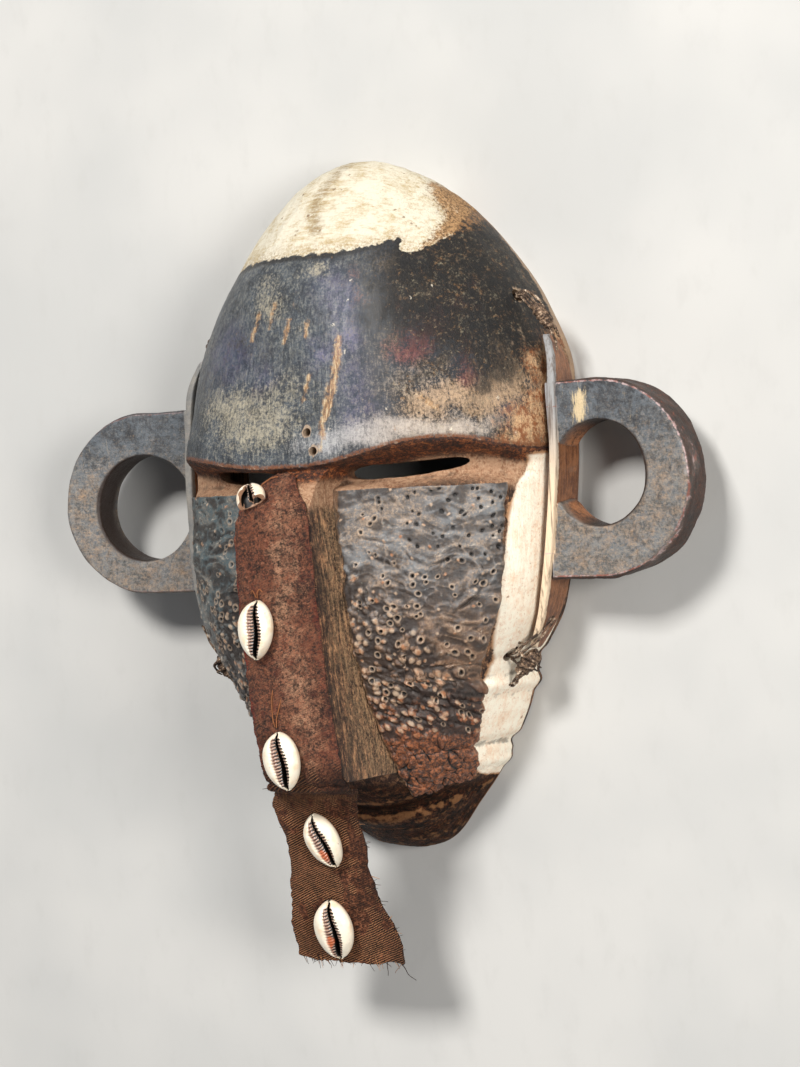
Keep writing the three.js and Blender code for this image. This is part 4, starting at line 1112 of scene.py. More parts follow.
@dataclass
class NoseCloth:
    """The strip of cloth down the nose, round its tip and out past it, with a worn edge and loose threads."""

    crumbly: tuple[Spot, ...] = (
        (0, 4, 16, 7, 0.7), (-8, 22, 9, 9, 0.7), (4, 30, 8, 7, 0.6), (-12, 34, 7, 8, 0.6),
        (9, 14, 5, 7, 0.6), (2, 44, 7, 5, 0.6), (-6, 58, 10, 8, 0.5), (10, 52, 4, 12, 0.5),
        (-12, 84, 8, 14, 0.5), (8, 80, 5, 10, 0.3), (0, 108, 18, 9, 0.7), (12, 126, 7, 10, 0.9),
        (16, 150, 8, 14, 0.9), (18, 178, 10, 18, 1.0), (-4, 192, 26, 5, 0.8), (-18, 150, 4, 12, 0.5),
        (-14, 128, 6, 8, 0.5))
    folds: tuple[tuple[Line, float, float], ...] = (
        (((-13, 60), (-4, 57), (7, 61)), 1.6, 0.5), (((2, 38), (8, 48), (10, 58)), 2.4, 0.5),
        (((-12, 92), (0, 96), (12, 93)), 2.0, 0.5), (((4, 66), (7, 80), (6, 96)), 2.6, 0.5),
        (((-10, 10), (-3, 14), (6, 9)), 1.8, 0.5), (((-4, 26), (1, 33)), 1.2, 0.6))
    stitches: tuple[tuple[Point, ...], ...] = (
        ((1.0, -0.2, 1.6), (2.2, -0.5, 2.7), (4.0, -0.66, 3.0), (6.0, -0.8, 2.6)),
        ((47.4, -0.62, 1.7), (46.2, -0.54, 2.5), (47.4, -0.48, 2.8), (49.0, -0.44, 2.6)),
        ((47.0, -0.28, 1.7), (45.8, -0.34, 2.5), (47.2, -0.4, 2.8), (49.0, -0.4, 2.6)),
        ((84, -0.3, 1.7), (89, -0.36, 2.5), (95, -0.4, 2.6), (99, -0.38, 2.6)),
        ((88, -0.12, 1.7), (92, -0.2, 2.5), (96, -0.3, 2.6), (99.4, -0.34, 2.6)))

    start: float = 15.275
    narrowing: float = 0.43
    gap: float = 0.4
    top: float = 1.9
    rows: int = 470
    columns: int = 82
    tail: tuple[tuple[float, float, float, float], ...] = (
        (-105.4, 82, -4.2, 18.4), (-106.6, 75, -6.3, 18.8), (-109.5, 69, -8.8, 18.2), (-116, 65, -10.8, 17.9),
        (-126, 61.5, -9.7, 17.8), (-137, 58, -9.4, 17.6), (-149, 54, -10.4, 19), (-160, 50.4, -9.8, 21.4),
        (-171, 47, -9.4, 23.6), (-180.5, 44, -9.8, 24))

    def path(self) -> tuple[Profile, Profile, Profile, Profile, Profile, float, float]:
        """Curves of the strip's middle line by length.

        Returns:
            Curves of x, y, z, half width and narrowing, the strip's length and the length on the nose.
        """
        y = np.concatenate([np.arange(self.start, HEAD.nose_tip, -2.0), [HEAD.nose_tip]])
        narrow = self.narrowing * smooth(-6, 17, y) ** 2
        half = HEAD.nose_half(y) * HEAD.nose_flat
        middle = HEAD.nose_centre(y) - half * narrow
        nose = np.stack([y, HEAD.nose_crest(y), middle, half * (1 - narrow), narrow], -1)
        tail = np.array([(*row, 0.0) for row in self.tail])
        line = np.concatenate([nose, tail])
        step = np.hypot(np.diff(line[:, 0]), np.diff(line[:, 1]))
        length = np.concatenate([[0], np.cumsum(step)])
        curves = [Profile(tuple(zip(length, line[:, k]))) for k in (2, 0, 1, 3, 4)]
        return (*curves, length[-1], length[len(nose) - 1])

    @staticmethod
    def crown(u: Array, narrow: Array) -> Array:
        """How far the strip drops at a share of its half width, as the nose's rounded top does."""
        return 2 * ((u + 1) * (1 - narrow) - 1) ** 2

    def build(self) -> bpy.types.Object:
        """Makes the strip with its wrinkles, crust and torn edges."""
        x_at, y_at, z_at, half_at, narrow_at, length, on_nose = self.path()
        s = np.linspace(0, length, self.rows)[:, None]
        u = np.linspace(-1, 1, self.columns)[None]
        side_noise = np.where(u < 0, 0.0, 40.0)
        edge_place = np.stack(np.broadcast_arrays(s, side_noise, 0.0), -1)
        hang = smooth(on_nose - 2, on_nose + 22, s)
        fray = (0.55 + 0.75 * hang) * noise(edge_place, (9, 5, 5), 200, 4)
        fray = fray + 0.35 * noise(edge_place, (2.2, 5, 5), 203, 3)
        right_tear = smooth(on_nose + 14, on_nose + 30, s) * (1 - smooth(length - 30, length - 16, s))
        top_round = 3.4 * (1 - smooth(0, 5, s)) ** 2
        half = half_at(s) + np.abs(u) * (fray - 0.6 * right_tear * (u > 0) - top_round)
        end_wave = np.stack(np.broadcast_arrays(0 * s, 20 * u, 0.0), -1)
        wave = 1.5 * noise(end_wave, 8, 210, 4) + 0.7 * noise(end_wave, 2.2, 211, 3)
        wave = wave + 2.0 * smooth(0.2, 1, -u)
        stretch = smooth(0.8, 1, s / length)
        upper = (1 - smooth(0, 0.03, s / length)) * 0.6
        s_here = np.clip(s - stretch * np.abs(wave) + upper * np.abs(wave), 0, length)
        x = x_at(s_here) + half * u
        y = np.broadcast_to(y_at(s_here), x.shape)
        z = z_at(s_here) - self.crown(u, narrow_at(s_here))
        base = np.stack([x, y, z], -1)
        normals = grid_normals(base)
        if normals[20, self.columns // 2, 2] < 0:
            normals = -normals
        flat = np.stack(np.broadcast_arrays(half * u, s_here, 0.0), -1)
        loose = 0.35 + 0.65 * hang
        ripple = loose * (0.55 * noise(flat, (13, 7, 5), 220, 2) + 0.5 * noise(flat, (5, 15, 5), 221, 2))
        drape = hang * 0.8 * np.sin(s_here / 6.5 + 0.8 * u) * (1 - 0.6 * np.abs(u))
        drape = drape * smooth(length, length - 20, s)
        worst = stained(flat[..., 0], s_here, self.crumbly)
        crumb = smooth(0.15, 0.8, noise(flat, (3.2, 4.2, 3), 230, 4) * 0.8 + worst)
        grit = noise(flat, (1.3, 1.3, 1), 231, 3)
        crust = crumb * (0.3 + 0.35 * grit + 0.25 * noise(flat, 3.4, 232, 2)) * (1 - 0.4 * hang)
        weave = 0.1 * np.sin(2 * np.pi * (s_here + flat[..., 0] * 0.45) / 0.95) * (1 - 0.8 * crumb)
        folds = sum(rise * bell(from_line(flat[..., 0], s_here, line)[0], wide)
                    for line, wide, rise in self.folds)
        top_height = self.top + 0.3 * ripple + np.maximum(crust, 0) + weave + folds
        top_height = top_height - 0.35 * smooth(0.86, 1, np.abs(u))
        lift = hang * (ripple + drape)
        top = base + normals * (np.maximum(top_height, self.gap + 0.5) + lift)[..., None]
        bottom = base + normals * (self.gap + lift)[..., None]
        shape = Shape.sheet(top, bottom, across=half * u, down=np.broadcast_to(s_here, x.shape), crumb=crumb,
                            edge=(1 - np.abs(u)) * half, relief=np.maximum(crust, 0) + folds + 0.3 * ripple,
                            right=u + 0 * x, thread=0 * x)
        strip = shape.build("strip")
        paint_edges(strip.data, 2)
        return strip

    def declare(self, piece: bpy.types.Object, threads: bpy.types.Object) -> None:
        _, _, _, half_at, _, length, _ = self.path()
        half = half_at(np.linspace(0, length, 400))
        flat = (2 * float(half.max()) * METRE, length * METRE)
        area = 2 * float(half.mean()) * length * METRE**2
        log.info("strip: %.1f by %.1f mm flat, %.0f square mm", flat[0] / METRE, length, area / METRE**2)

    def place(self, s: Array, u: Array, height: Array) -> Array:
        """Points over the strip at a length, a share of its half width and a height."""
        x_at, y_at, z_at, half_at, narrow_at, *_ = self.path()
        s, u, height = np.broadcast_arrays(s, u, height)
        ahead = np.stack([y_at(s + 0.5) - y_at(s - 0.5), z_at(s + 0.5) - z_at(s - 0.5)], -1)
        ahead = ahead / np.maximum(np.linalg.norm(ahead, axis=-1, keepdims=True), 1e-6)
        y = y_at(s) + height * ahead[..., 1] * np.sign(-ahead[..., 0] + 1e-9)
        z = z_at(s) - self.crown(u, narrow_at(s)) + height * np.abs(ahead[..., 0])
        return np.stack([x_at(s) + half_at(s) * u, y, z], -1)

    def threads(self) -> bpy.types.Object:
        """Makes the loose threads along the worn edges and the lower end, and the shells' sewing threads."""
        *_, length, on_nose = self.path()
        random = np.random.default_rng(12)
        shape = Shape()

        def spin(path: Array, radius: Array | float, sides: int, down: float, thread: float) -> None:
            """Adds one thread, with the values that the strip's material reads."""
            zero = np.zeros(len(path))
            shape.add_tubes(path, radius, sides, across=zero, down=zero + down, crumb=zero, edge=zero + 9,
                            relief=zero, right=zero, thread=zero + thread)

        for k in range(190):
            low_end = k < 60
            right = random.random() < 0.6
            s = length - (random.uniform(0, 2.5) if low_end else random.uniform(3, length - 6))
            u = random.uniform(-1, 1) if low_end else (0.97 if right else -0.97)
            reach = random.uniform(1.0, 4.2) if low_end else random.uniform(0.5, 1.4 + 1.2 * (s > on_nose))
            t = np.linspace(0, 1, 7)
            start = self.place(np.array(s - (1.0 if low_end else 0)), np.array(u), np.array(1.1))
            lean = random.uniform(-0.7, 0.7)
            out = np.array([lean, -1.0, -0.25]) if low_end else np.array([np.sign(u), lean * 0.8, -0.5])
            curl = random.normal(0, 0.6, 3)
            path = start + np.outer(t, out * reach) + np.outer(np.sin(2.2 * t) * t, curl * reach * 0.5)
            spin(path, 0.15 * (1 - 0.5 * t), 5, s, 0.5 * (random.random() < 0.3))
        low = length - 1
        reach = np.array([(0, 0, 0), (1.6, -2.2, -0.4), (2.6, -5, -1.4), (5.6, -7.4, -2.2)])
        for u, size, lean in ((0.93, 1.0, 1), (0.7, 0.8, -0.2)):
            start = self.place(np.array(low), np.array(u), np.array(1.0))
            path = trace(start + reach * size * [lean, 1, 1], 24)
            spin(path, 0.2 * (1 - 0.4 * np.linspace(0, 1, 24)), 6, low, 0.5)
        for line in self.stitches:
            path = trace([self.place(*(np.array(v) for v in point)) for point in line], 28)
            spin(path, 0.24, 7, 0, 1)
        return shape.build("loose_threads")


@dataclass
class Cowrie:
    """A cowrie shell, slot side out, with its teeth."""

    name: str
    x: float
    y: float
    turn: float
    seed: int
    length: float = 24.5
    width: float = 15.6
    height: float = 7.2
    shift: float = 0.7
    roll: float = 8.0
    stain: float = 0.0
    pitch: float = 1.24
    seat: float = 0.8

    def rings(self) -> tuple[Array, dict[str, Array]]:
        """Rings from one end to the other, each from under the shell, over it and through its slot.

        Returns:
            The rings and their named values.
        """
        t = np.sin(np.linspace(-0.5, 0.5, 104) * np.pi * 0.985)[:, None]
        side = np.linspace(-1, 1, 101)[None]
        a = np.abs(side)
        out = Profile((
            (0, 0.02), (0.08, 0.05), (0.16, 0.1), (0.3, 0.25), (0.46, 0.52), (0.62, 0.84), (0.73, 0.99),
            (0.79, 1.0), (0.88, 0.93), (1, 0.6)))
        up = Profile((
            (0, 0.3), (0.08, 0.55), (0.12, 0.82), (0.19, 0.94), (0.32, 1.0), (0.48, 0.95), (0.62, 0.78),
            (0.75, 0.48), (0.88, 0.16), (1, 0.0)))
        swell = np.clip(1 - np.abs(t) ** 2.1, 0, 1) ** 0.62 * (1 + 0.1 * t)
        near_slot = 1 - smooth(0.16, 0.42, a)
        slot_width = 1 + near_slot * (0.2 + 0.75 * (1 - smooth(-0.7, 0.5, t)))
        swelling = blend(np.maximum(swell, 0.12), np.maximum(swell, 0.12) ** 0.5, near_slot)
        x = np.sign(side) * out(a) * swelling * (self.width / 2) * slot_width
        z = up(a) * self.height * np.maximum(swell, 0.18) ** 0.62
        y = t * (self.length / 2) + 0 * x
        middle = self.shift * swell + 0.8 * np.sin(1.2 - 2.6 * t) * (1 - np.abs(t) ** 3)
        x = x + middle * (1 - smooth(0.2, 0.85, a))
        left = side < 0
        wave = noise(np.stack(np.broadcast_arrays(t * 12, left * 9.0, 0.0), -1), 2.0, self.seed + 9, 2)
        zone_end = np.where(left, 0.5, 0.4) + 0.05 * wave
        place = self.length / 2 * t + np.where(left, 0.9 * a, 0.2)
        ridges = 0.5 + 0.5 * np.cos(2 * np.pi * (place / self.pitch + 0.12 * wave))
        ends = 1 - smooth(0.78, 0.93, np.abs(t))
        zone = smooth(0.1, 0.15, a) * (1 - smooth(zone_end - 0.09, zone_end, a)) * ends
        grooves = zone * smooth(0.3, 0.7, 1 - ridges)
        z = z - 0.42 * grooves - 0.25 * zone * left
        z = z - 2.2 * np.exp(-((a / 0.17) ** 2)) * smooth(0.84, 0.97, np.abs(t))
        flat = np.stack([x, y, z], -1)
        z = z + 0.14 * noise(flat, 5, self.seed, 2) * (1 - zone)
        gape = 0.13 + np.where(left, 0.06, 0.26) * smooth(0.25, 0.8, 1 - ridges) * ends
        stain = noise(flat, 6, self.seed + 5, 3) * smooth(0.1, 0.5, np.abs(t) + a * 0.4)
        stain = stain + self.stain * np.exp(-((side + 0.3) / 0.25) ** 2 - ((t + 0.35) / 0.35) ** 2)
        # The slot marks the opening, which the finish paints black as shade.
        values = {"slot": 1 - smooth(gape - 0.02, gape + 0.03, a), "teeth": grooves, "zone": zone,
                  "up": up(a) + 0 * t, "near": 1 - smooth(0.14, zone_end, a) + 0 * t, "stain": stain}
        roll = np.array(Matrix.Rotation(math.radians(self.roll), 3, "Y"))
        return np.stack([x, y, z + 0.25], -1) @ roll.T, values

    def placed(self, points: Array) -> Array:
        """Points moved from the shell's own place onto the cloth, turned about its face."""
        cloth = NoseCloth()
        slope_step = 5.0

        def surface(y: float) -> float:
            """Height of the cloth's outer face at y."""
            if y > HEAD.nose_tip:
                return float(HEAD.nose_crest(y)) + cloth.top
            path = sorted((place[0], place[1]) for place in cloth.tail)
            return float(Profile(tuple(path))(y)) + cloth.top

        slope = math.atan2(surface(self.y + slope_step) - surface(self.y - slope_step), 2 * slope_step)
        turn = Matrix.Rotation(slope, 3, "X") @ Matrix.Rotation(math.radians(self.turn), 3, "Z")
        return points @ np.array(turn).T + np.array([self.x, self.y, surface(self.y) + self.seat])

    def build(self) -> bpy.types.Object:
        """Makes the shell."""
        rings, values = self.rings()
        return Shape.loft(self.placed(rings), **values).build(self.name.replace("cowrie", "shell"))


@dataclass
class BrokenCowrie(Cowrie):
    """What is left of the first cowrie: both lips of its upper part, hollow behind and broken off below."""

    def build(self) -> bpy.types.Object:
        """Makes the shell's remains, with a broken edge and a gap between the lips."""
        rings, values = self.rings()
        shell = super().build()
        inner = rings * [0.74, 0.78, 0.62] + [0, 0, 0.6]
        # The hollow behind the lips takes the slot's painted shade.
        values = {name: 0 * value + (name == "slot") for name, value in values.items()}
        hollow = Shape.loft(self.placed(inner), **values)
        combine(shell, hollow.build("hollow"), "DIFFERENCE")
        across, height = np.meshgrid(np.linspace(-12, 12, 90), np.linspace(-4, 12, 40), indexing="ij")
        ragged = 0.6 * noise(np.stack([across, height, 0 * height], -1), 2.4, 300, 4)
        near = np.stack([across, -1.6 + 0.2 * across + ragged, height], -1)
        lost = Shape.sheet(self.placed(near), self.placed(near * [1, 0, 1] + [0, -40, 0]))
        combine(shell, lost.build("lost"), "DIFFERENCE")
        y, height = np.meshgrid(np.linspace(-14, 5.6, 90), np.linspace(1.4, 12, 40), indexing="ij")
        ragged = 0.45 * noise(np.stack([y, height, 0 * height], -1), 2.0, 310, 4)
        gap = 2.5 * smooth(5.6, 1.5, y) + 0.15
        left = np.stack([-0.9 - gap + ragged, y, height], -1)
        right = np.stack([-0.9 + gap * 0.5 + ragged * 0.5, y, height], -1)
        combine(shell, Shape.sheet(self.placed(left), self.placed(right)).build("split"), "DIFFERENCE")
        soften(shell.data, 35)
        return shell


@dataclass
class Ear:
    """One ear: a thin slat that follows the side of the head, with a ring that stands out from it."""

    side: Side
    reach: float
    centre: float
    outer: float
    hole_centre: float
    hole: float
    slat_low: float = -57.0
    slat_high: float = 66.0
    slat_mid: float = 19.5
    slat_half: float = 11.5
    thick: float = 3.6
    gap: float = 0.5
    depth: float = 17.0
    front: float = 29.0
    bevel: float = 1.3
    sunk: float = 1.2
    sweep: float = math.radians(5)

    def head_side(self, y: Array) -> Array:
        """How far out the side of the head reaches at y, on the height of the slat's back edge."""
        square = HEAD.squareness(y)
        rise = (self.slat_mid - self.slat_half) / HEAD.cheek(y)
        return HEAD.half_width(y) * (1 - rise**square) ** (1 / square) + self.side * HEAD.skew(y)

    def slat(self) -> Shape:
        """The slat, rounded and worn at its edges."""
        y = steps([(self.slat_low, self.slat_low + 3, 6), (self.slat_low + 3, self.slat_high - 3, 120),
                   (self.slat_high - 3, self.slat_high, 6)])[:, None]
        t = 2 * (y - self.slat_low) / (self.slat_high - self.slat_low) - 1
        depth = self.slat_half * (1 - 0.72 * np.abs(t) ** 4) * (1 - 0.3 * smooth(0.985, 1, np.abs(t)))
        thick = self.thick * (1 - 0.35 * np.abs(t) ** 6)
        angle = np.linspace(0, 2 * np.pi, 56, endpoint=False)[None]
        across = np.sign(np.cos(angle)) * np.abs(np.cos(angle)) ** 0.35
        up = np.sign(np.sin(angle)) * np.abs(np.sin(angle)) ** 0.22
        x = self.head_side(y) + self.gap + thick * (0.5 + 0.5 * across)
        z = self.slat_mid + depth * up
        points = np.stack([x, y + 0 * x, z], -1)
        rough = 0.22 * noise(points, (6, 12, 6), 400 + self.side, 3)
        points[..., 0] += rough * (across > 0)
        points[..., 2] += rough
        points[..., 0] *= self.side
        return Shape.loft(points)

    def ring(self) -> Shape:
        """The ring, a thick plate bent round an open hole, with rounded edges and a hand-cut surface."""
        inside_radius, rim = self.hole, self.outer
        opening = math.acos(-self.reach / (self.hole + 1.2))
        t = np.linspace(0, 1, 230)
        arc = math.pi * rim
        line = self.reach + 2.0
        at = t * (2 * line + arc)
        angle = -np.pi / 2 + np.clip(at - line, 0, arc) / rim
        outer_x = np.where(at < line, at - 2.0, np.where(at > line + arc, 2 * line + arc - at - 2.0,
                                                         self.reach + rim * np.cos(angle)))
        outer_y = self.centre + rim * np.sin(angle)
        hole_angle = -opening + 2 * opening * t
        hole_x = self.reach + inside_radius * np.cos(hole_angle)
        hole_y = self.hole_centre + inside_radius * np.sin(hole_angle)
        ends = np.clip(1 - np.minimum(t, 1 - t) / 0.03, 0, 1)
        hole_x = hole_x - 2.0 * ends
        outline = np.stack([outer_x, outer_y], -1)
        hole = np.stack([hole_x, hole_y], -1)
        bevel = self.bevel
        width = np.linalg.norm(outline - hole, axis=1)[:, None]
        section = self.section()[None]
        across = 0.5 + 0.5 * section[..., 0] * (1 - 2 * bevel / width) + section[..., 1] * bevel / width
        height = section[..., 2] * (self.depth / 2 - bevel) + section[..., 3] * bevel
        z = np.broadcast_to(height + self.front - self.depth / 2, across.shape)
        flat = hole[:, None] + (outline - hole)[:, None] * across[..., None]
        points = np.stack([flat[..., 0], flat[..., 1], z], -1)
        rough = 0.36 * noise(points, (15, 15, 9), 420 + self.side, 2) + 0.06 * noise(points, 2.4, 430, 2)
        side_part = section[..., 1:2] * ((outline - hole) / width)[:, None]
        outward = unit(np.concatenate([side_part, np.broadcast_to(section[..., 3:4], (*z.shape, 1))], -1))
        points = points + outward * (rough * self.wear(points))[..., None]
        lean = -self.side * self.sweep
        points[..., 0] *= self.side
        points[..., 2] -= self.slat_mid
        turn = np.array(Matrix.Rotation(lean, 3, "Y"))
        points = points @ turn.T
        points[..., 2] += self.slat_mid
        base = float(self.head_side(np.array(self.centre))) + self.gap + self.thick - self.sunk
        points[..., 0] += self.side * base
        return Shape.loft(points)

    def wear(self, points: Array) -> Array:
        """How rough the ring is: more on the charred outer wall of the right ear."""
        radius = np.hypot(points[..., 0] - self.reach, points[..., 1] - self.centre)
        charred = smooth(self.outer - 3, self.outer - 0.8, radius) * (self.side > 0)
        return 1 + 1.2 * charred

    @staticmethod
    def section() -> Array:
        """Rows of (side, side's round, height, height's round) round a rectangle with rounded corners."""
        rows = []
        quarter = np.linspace(0, np.pi / 2, 7)
        flat = np.linspace(-1, 1, 22)[1:-1]
        wall = np.linspace(-1, 1, 18)[1:-1]
        rows += [(1.0, math.cos(a), 1.0, math.sin(a)) for a in quarter]
        rows += [(-f, 0.0, 1.0, 1.0) for f in flat]
        rows += [(-1.0, -math.sin(a), 1.0, math.cos(a)) for a in quarter]
        rows += [(-1.0, -1.0, -w, 0.0) for w in wall]
        rows += [(-1.0, -math.cos(a), -1.0, -math.sin(a)) for a in quarter]
        rows += [(f, 0.0, -1.0, -1.0) for f in flat]
        rows += [(1.0, math.sin(a), -1.0, -math.cos(a)) for a in quarter]
        rows += [(1.0, 1.0, w, 0.0) for w in wall]
        return np.array(rows, float)

    def build(self) -> bpy.types.Object:
        """Makes the ear."""
        ear = self.ring().build(f"{self.side.word}_ear")
        combine(ear, self.slat().build("slat"), "UNION")
        soften(ear.data, 45)
        self.mark(ear.data)
        paint_edges(ear.data)
        return ear

    def mark(self, mesh: bpy.types.Mesh) -> None:
        """Stores where the slat, the hole's wall and the ring's outer wall are."""
        x, y, z = millimetres(mesh).T
        out = self.side * x - float(self.head_side(np.array(self.centre))) - self.gap - self.thick + self.sunk
        near = self.side * x - self.head_side(y) - self.gap
        slat = (near < self.thick + 0.25) & (np.abs(z - self.slat_mid) < self.slat_half + 1)
        t = 2 * (y - self.slat_low) / (self.slat_high - self.slat_low) - 1
        front = z - self.slat_mid - self.slat_half * (1 - 0.72 * np.abs(t) ** 4)
        hole = np.hypot(out - self.reach, y - self.hole_centre)
        outer = np.hypot(np.clip(out - self.reach, 0, None), y - self.centre)
        paint(mesh, "slat", slat * 1.0)
        paint(mesh, "front", front)
        paint(mesh, "up", y)
        paint(mesh, "hole", (1 - smooth(self.hole - 0.1, self.hole + 0.9, hole)) * ~slat)
        paint(mesh, "wall", smooth(self.outer - 1.4, self.outer - 0.2, outer) * ~slat)
        edge = np.where(z > self.front - 5 - 0.1 * out, outer - self.outer + 0.9, 9.0)
        paint(mesh, "corner", edge + 9.0 * slat)
        # How near the slat a place is; the finish paints shade on the hole's wall away from it.
        paint(mesh, "inward", 1 - smooth(5, 15, out))
        paint(mesh, "scuff", np.exp(-(((out - 12) / 3.4) ** 2 + ((y - 37) / 7) ** 4)) * (self.side > 0))


@dataclass(frozen=True)
class Tie:
    """Sizes of a tie, as (outwards, up, forwards) from its hole: a wound coil and the strands beside it."""

    coil: tuple[Point, Point]
    coil_radius: float
    turns: float
    cord: float
    strands: tuple[tuple[Point, ...], ...]


TOP_TIE = Tie(
    ((7.0, -4.6, 1.2), (13.4, -13.6, 0.8)), 1.9, 4.6, 0.95,
    (((-2, 0, -0.6), (1.6, 0.2, 0.9), (5, -2.6, 2.0), (9.6, -7.4, 2.4)),
     ((-2, 0.8, -0.6), (1.4, 1.0, 0.6), (5.4, -1.4, 1.6), (10.4, -6.6, 1.6)),
     ((-2, -0.6, -0.6), (1.4, -1.0, 1.0), (4.2, -3.8, 1.6), (8.8, -8.2, 2.2)),
     ((-1, 0.2, -0.4), (2.6, 1.6, 0.4), (6.6, -0.6, 0.2), (10.8, -5.4, 0.2)),
     ((12.4, -12.2, 2.0), (14.2, -15.8, 1.6), (15.0, -19.2, 0.6), (15.1, -22.6, -0.6)),
     ((13.6, -11.8, 0.6), (15.4, -14.6, 0.4), (15.8, -17.4, -1.2))))
BOTTOM_TIE = Tie(
    ((9.6, 0.6, -4.4), (2.2, -7.6, -1.6)), 2.7, 5.4, 0.85,
    (((-2, 0, -0.4), (1.4, 0.4, 0.8), (5.4, 3.4, 0.6), (12.2, 8.8, -2.6), (17.0, 14.6, -5.0)),
     ((-2, -0.6, -0.4), (1.6, -1.2, 1.2), (6.2, 1.2, 1.4), (12.6, 6.4, -1.2), (18.0, 13.6, -4.0)),
     ((1.6, 2.8, -1.0), (6.8, -0.8, 2.6), (10.4, -3.4, 0.4), (11.0, -5.6, -3.0)),
     ((0.6, -1.6, 1.2), (5.6, -4.6, 2.6), (9.4, -6.0, -0.6), (9.6, -7.0, -3.4)),
     ((4.2, -6.4, 0.4), (1.6, -9.0, -0.2), (-0.6, -11.2, -1.6), (-2.4, -12.4, -2.6)),
     ((5.0, -7.2, -1.4), (2.2, -9.6, -1.0), (0.2, -11.8, -2.4), (-2.0, -13.0, -3.2)),
     ((0.8, 3.4, -1.4), (3.4, 4.6, -0.8), (6.2, 3.8, -0.6))))


@dataclass
class Lashing:
    """A wrapped cord tie at one end of a slat."""

    name: str
    x: float
    y: float
    z: float
    tie: Tie

    def placed(self, point: Point) -> Array:
        """A tie's point in the face's coordinates."""
        out, up, front = point
        return np.array([self.x + np.sign(self.x) * out, self.y + up, self.z + front])

    def build(self) -> bpy.types.Object:
        """Makes the coil's core, its wraps and the strands."""
        seed = 500 + int(abs(self.y)) + int(self.x > 0)
        random = np.random.default_rng(seed)
        start, end = (self.placed(point) for point in self.tie.coil)
        shape = Shape()
        t = np.linspace(0, 1, 40)
        bow = np.array([np.sign(self.x) * 0.6, 0.3, 0.9])
        axis = start + (end - start) * t[:, None] + bow * np.sin(np.pi * t)[:, None]
        swell = 0.55 + 0.45 * np.sin(np.pi * np.clip(t * 1.1 - 0.05, 0, 1)) ** 0.6
        shape.add_tubes(axis, self.tie.coil_radius * 0.75 * swell, 14, strand=t * 0)
        ahead = unit(end - start)
        across = unit(np.cross(ahead, [0.0, 0.0, 1.0]))
        up = np.cross(across, ahead)
        for k in range(2):
            fine = np.linspace(0.02, 0.98, 420)
            middle = start + (end - start) * fine[:, None] + bow * np.sin(np.pi * fine)[:, None]
            wide = 0.5 + 0.5 * np.sin(np.pi * np.clip(fine * 1.1 - 0.05, 0, 1)) ** 0.6
            angle = 2 * np.pi * (self.tie.turns * fine + 0.5 * k + 0.05 * np.sin(fine * 23 + k))
            spoke = across * np.cos(angle)[:, None] + up * np.sin(angle)[:, None]
            cord = self.tie.cord * (1.0 if k == 0 else 0.72) * (1 + 0.14 * np.sin(fine * 61 + 2 * k))
            helix = middle + spoke * (self.tie.coil_radius * wide)[:, None]
            shape.add_tubes(helix, cord, 9, strand=fine * 0 + 1 + k)
        for strand in self.tie.strands:
            line = trace([self.placed(point) for point in strand], 44)
            share = np.linspace(0, 1, 44)
            twist = share[:, None] * 9
            for k, side in enumerate((-1, 1)):
                offset = 0.28 * side * np.concatenate([np.cos(twist), np.sin(twist) * 0.5, np.sin(twist)], 1)
                radius = (0.46 if k else 0.4) * (1 - 0.35 * share**3) * random.uniform(0.85, 1.15)
                shape.add_tubes(line + offset, radius, 7, strand=share * 0 + 2 + k)
        tie = shape.build(self.name.replace("lashing", "tie"))
        paint_edges(tie.data)
        return tie


SHELLS = [
    Cowrie("cowrie_2", -17.8, -43.5, -4, 602, 23.0, 14.4), Cowrie("cowrie_3", -8.7, -94, 6, 603, 22.8, 14.9),
    Cowrie("cowrie_4", -7.2, -128, 16, 604, 23.2, 14.0, stain=0.7),
    Cowrie("cowrie_5", -11.3, -165.5, 0, 605, 25.4, 16.2, stain=1.7)]
EARS = [Ear(Side.RIGHT, 19.5, 8.8, 38.4, 10.8, 20.4), Ear(Side.LEFT, 22.6, 7.4, 38.2, 5.4, 22.3)]
LASHINGS = [
    Lashing("lashing_right_top", 68.5, 82, 22, TOP_TIE),
    Lashing("lashing_right_bottom", 60, -59, 27, BOTTOM_TIE),
    Lashing("lashing_left_top", -69.5, 82, 10, TOP_TIE),
    Lashing("lashing_left_bottom", -67.5, -59, 27, BOTTOM_TIE)]


def new_graph(name: str) -> Graph:
    """An empty material's graph."""
    material = bpy.data.materials.new(name)
    material.use_nodes = True
    material.node_tree.nodes.clear()
    return Graph(material.node_tree, material)


def finish(graph: Graph, color: Wire, rough: Value, height: Wire, depth: float, coat: Value = 0.0,
           specular: Value = 0.5) -> bpy.types.Material:
    """Adds the surface shader, with its relief, and the output.

    Args:
        graph: the material's graph.
        color: base colour.
        rough: roughness.
        height: relief from 0 to 1.
        depth: depth of the relief in millimetres.
        coat: weight of a thin gloss layer.
        specular: strength of the mirror part.

    Returns:
        The finished material.
    """
    bump = graph.node("ShaderNodeBump", {"Height": height, "Strength": 1.0, "Distance": depth * METRE})
    shader = graph.node("ShaderNodeBsdfPrincipled", {
        "Base Color": color, "Roughness": rough, "Normal": bump, "Coat Weight": coat, "Coat Roughness": 0.35,
        "Specular IOR Level": specular})
    end = graph.tree.nodes.new("ShaderNodeOutputMaterial")
    graph.tree.links.new(shader.socket, end.inputs["Surface"])
    return graph.material


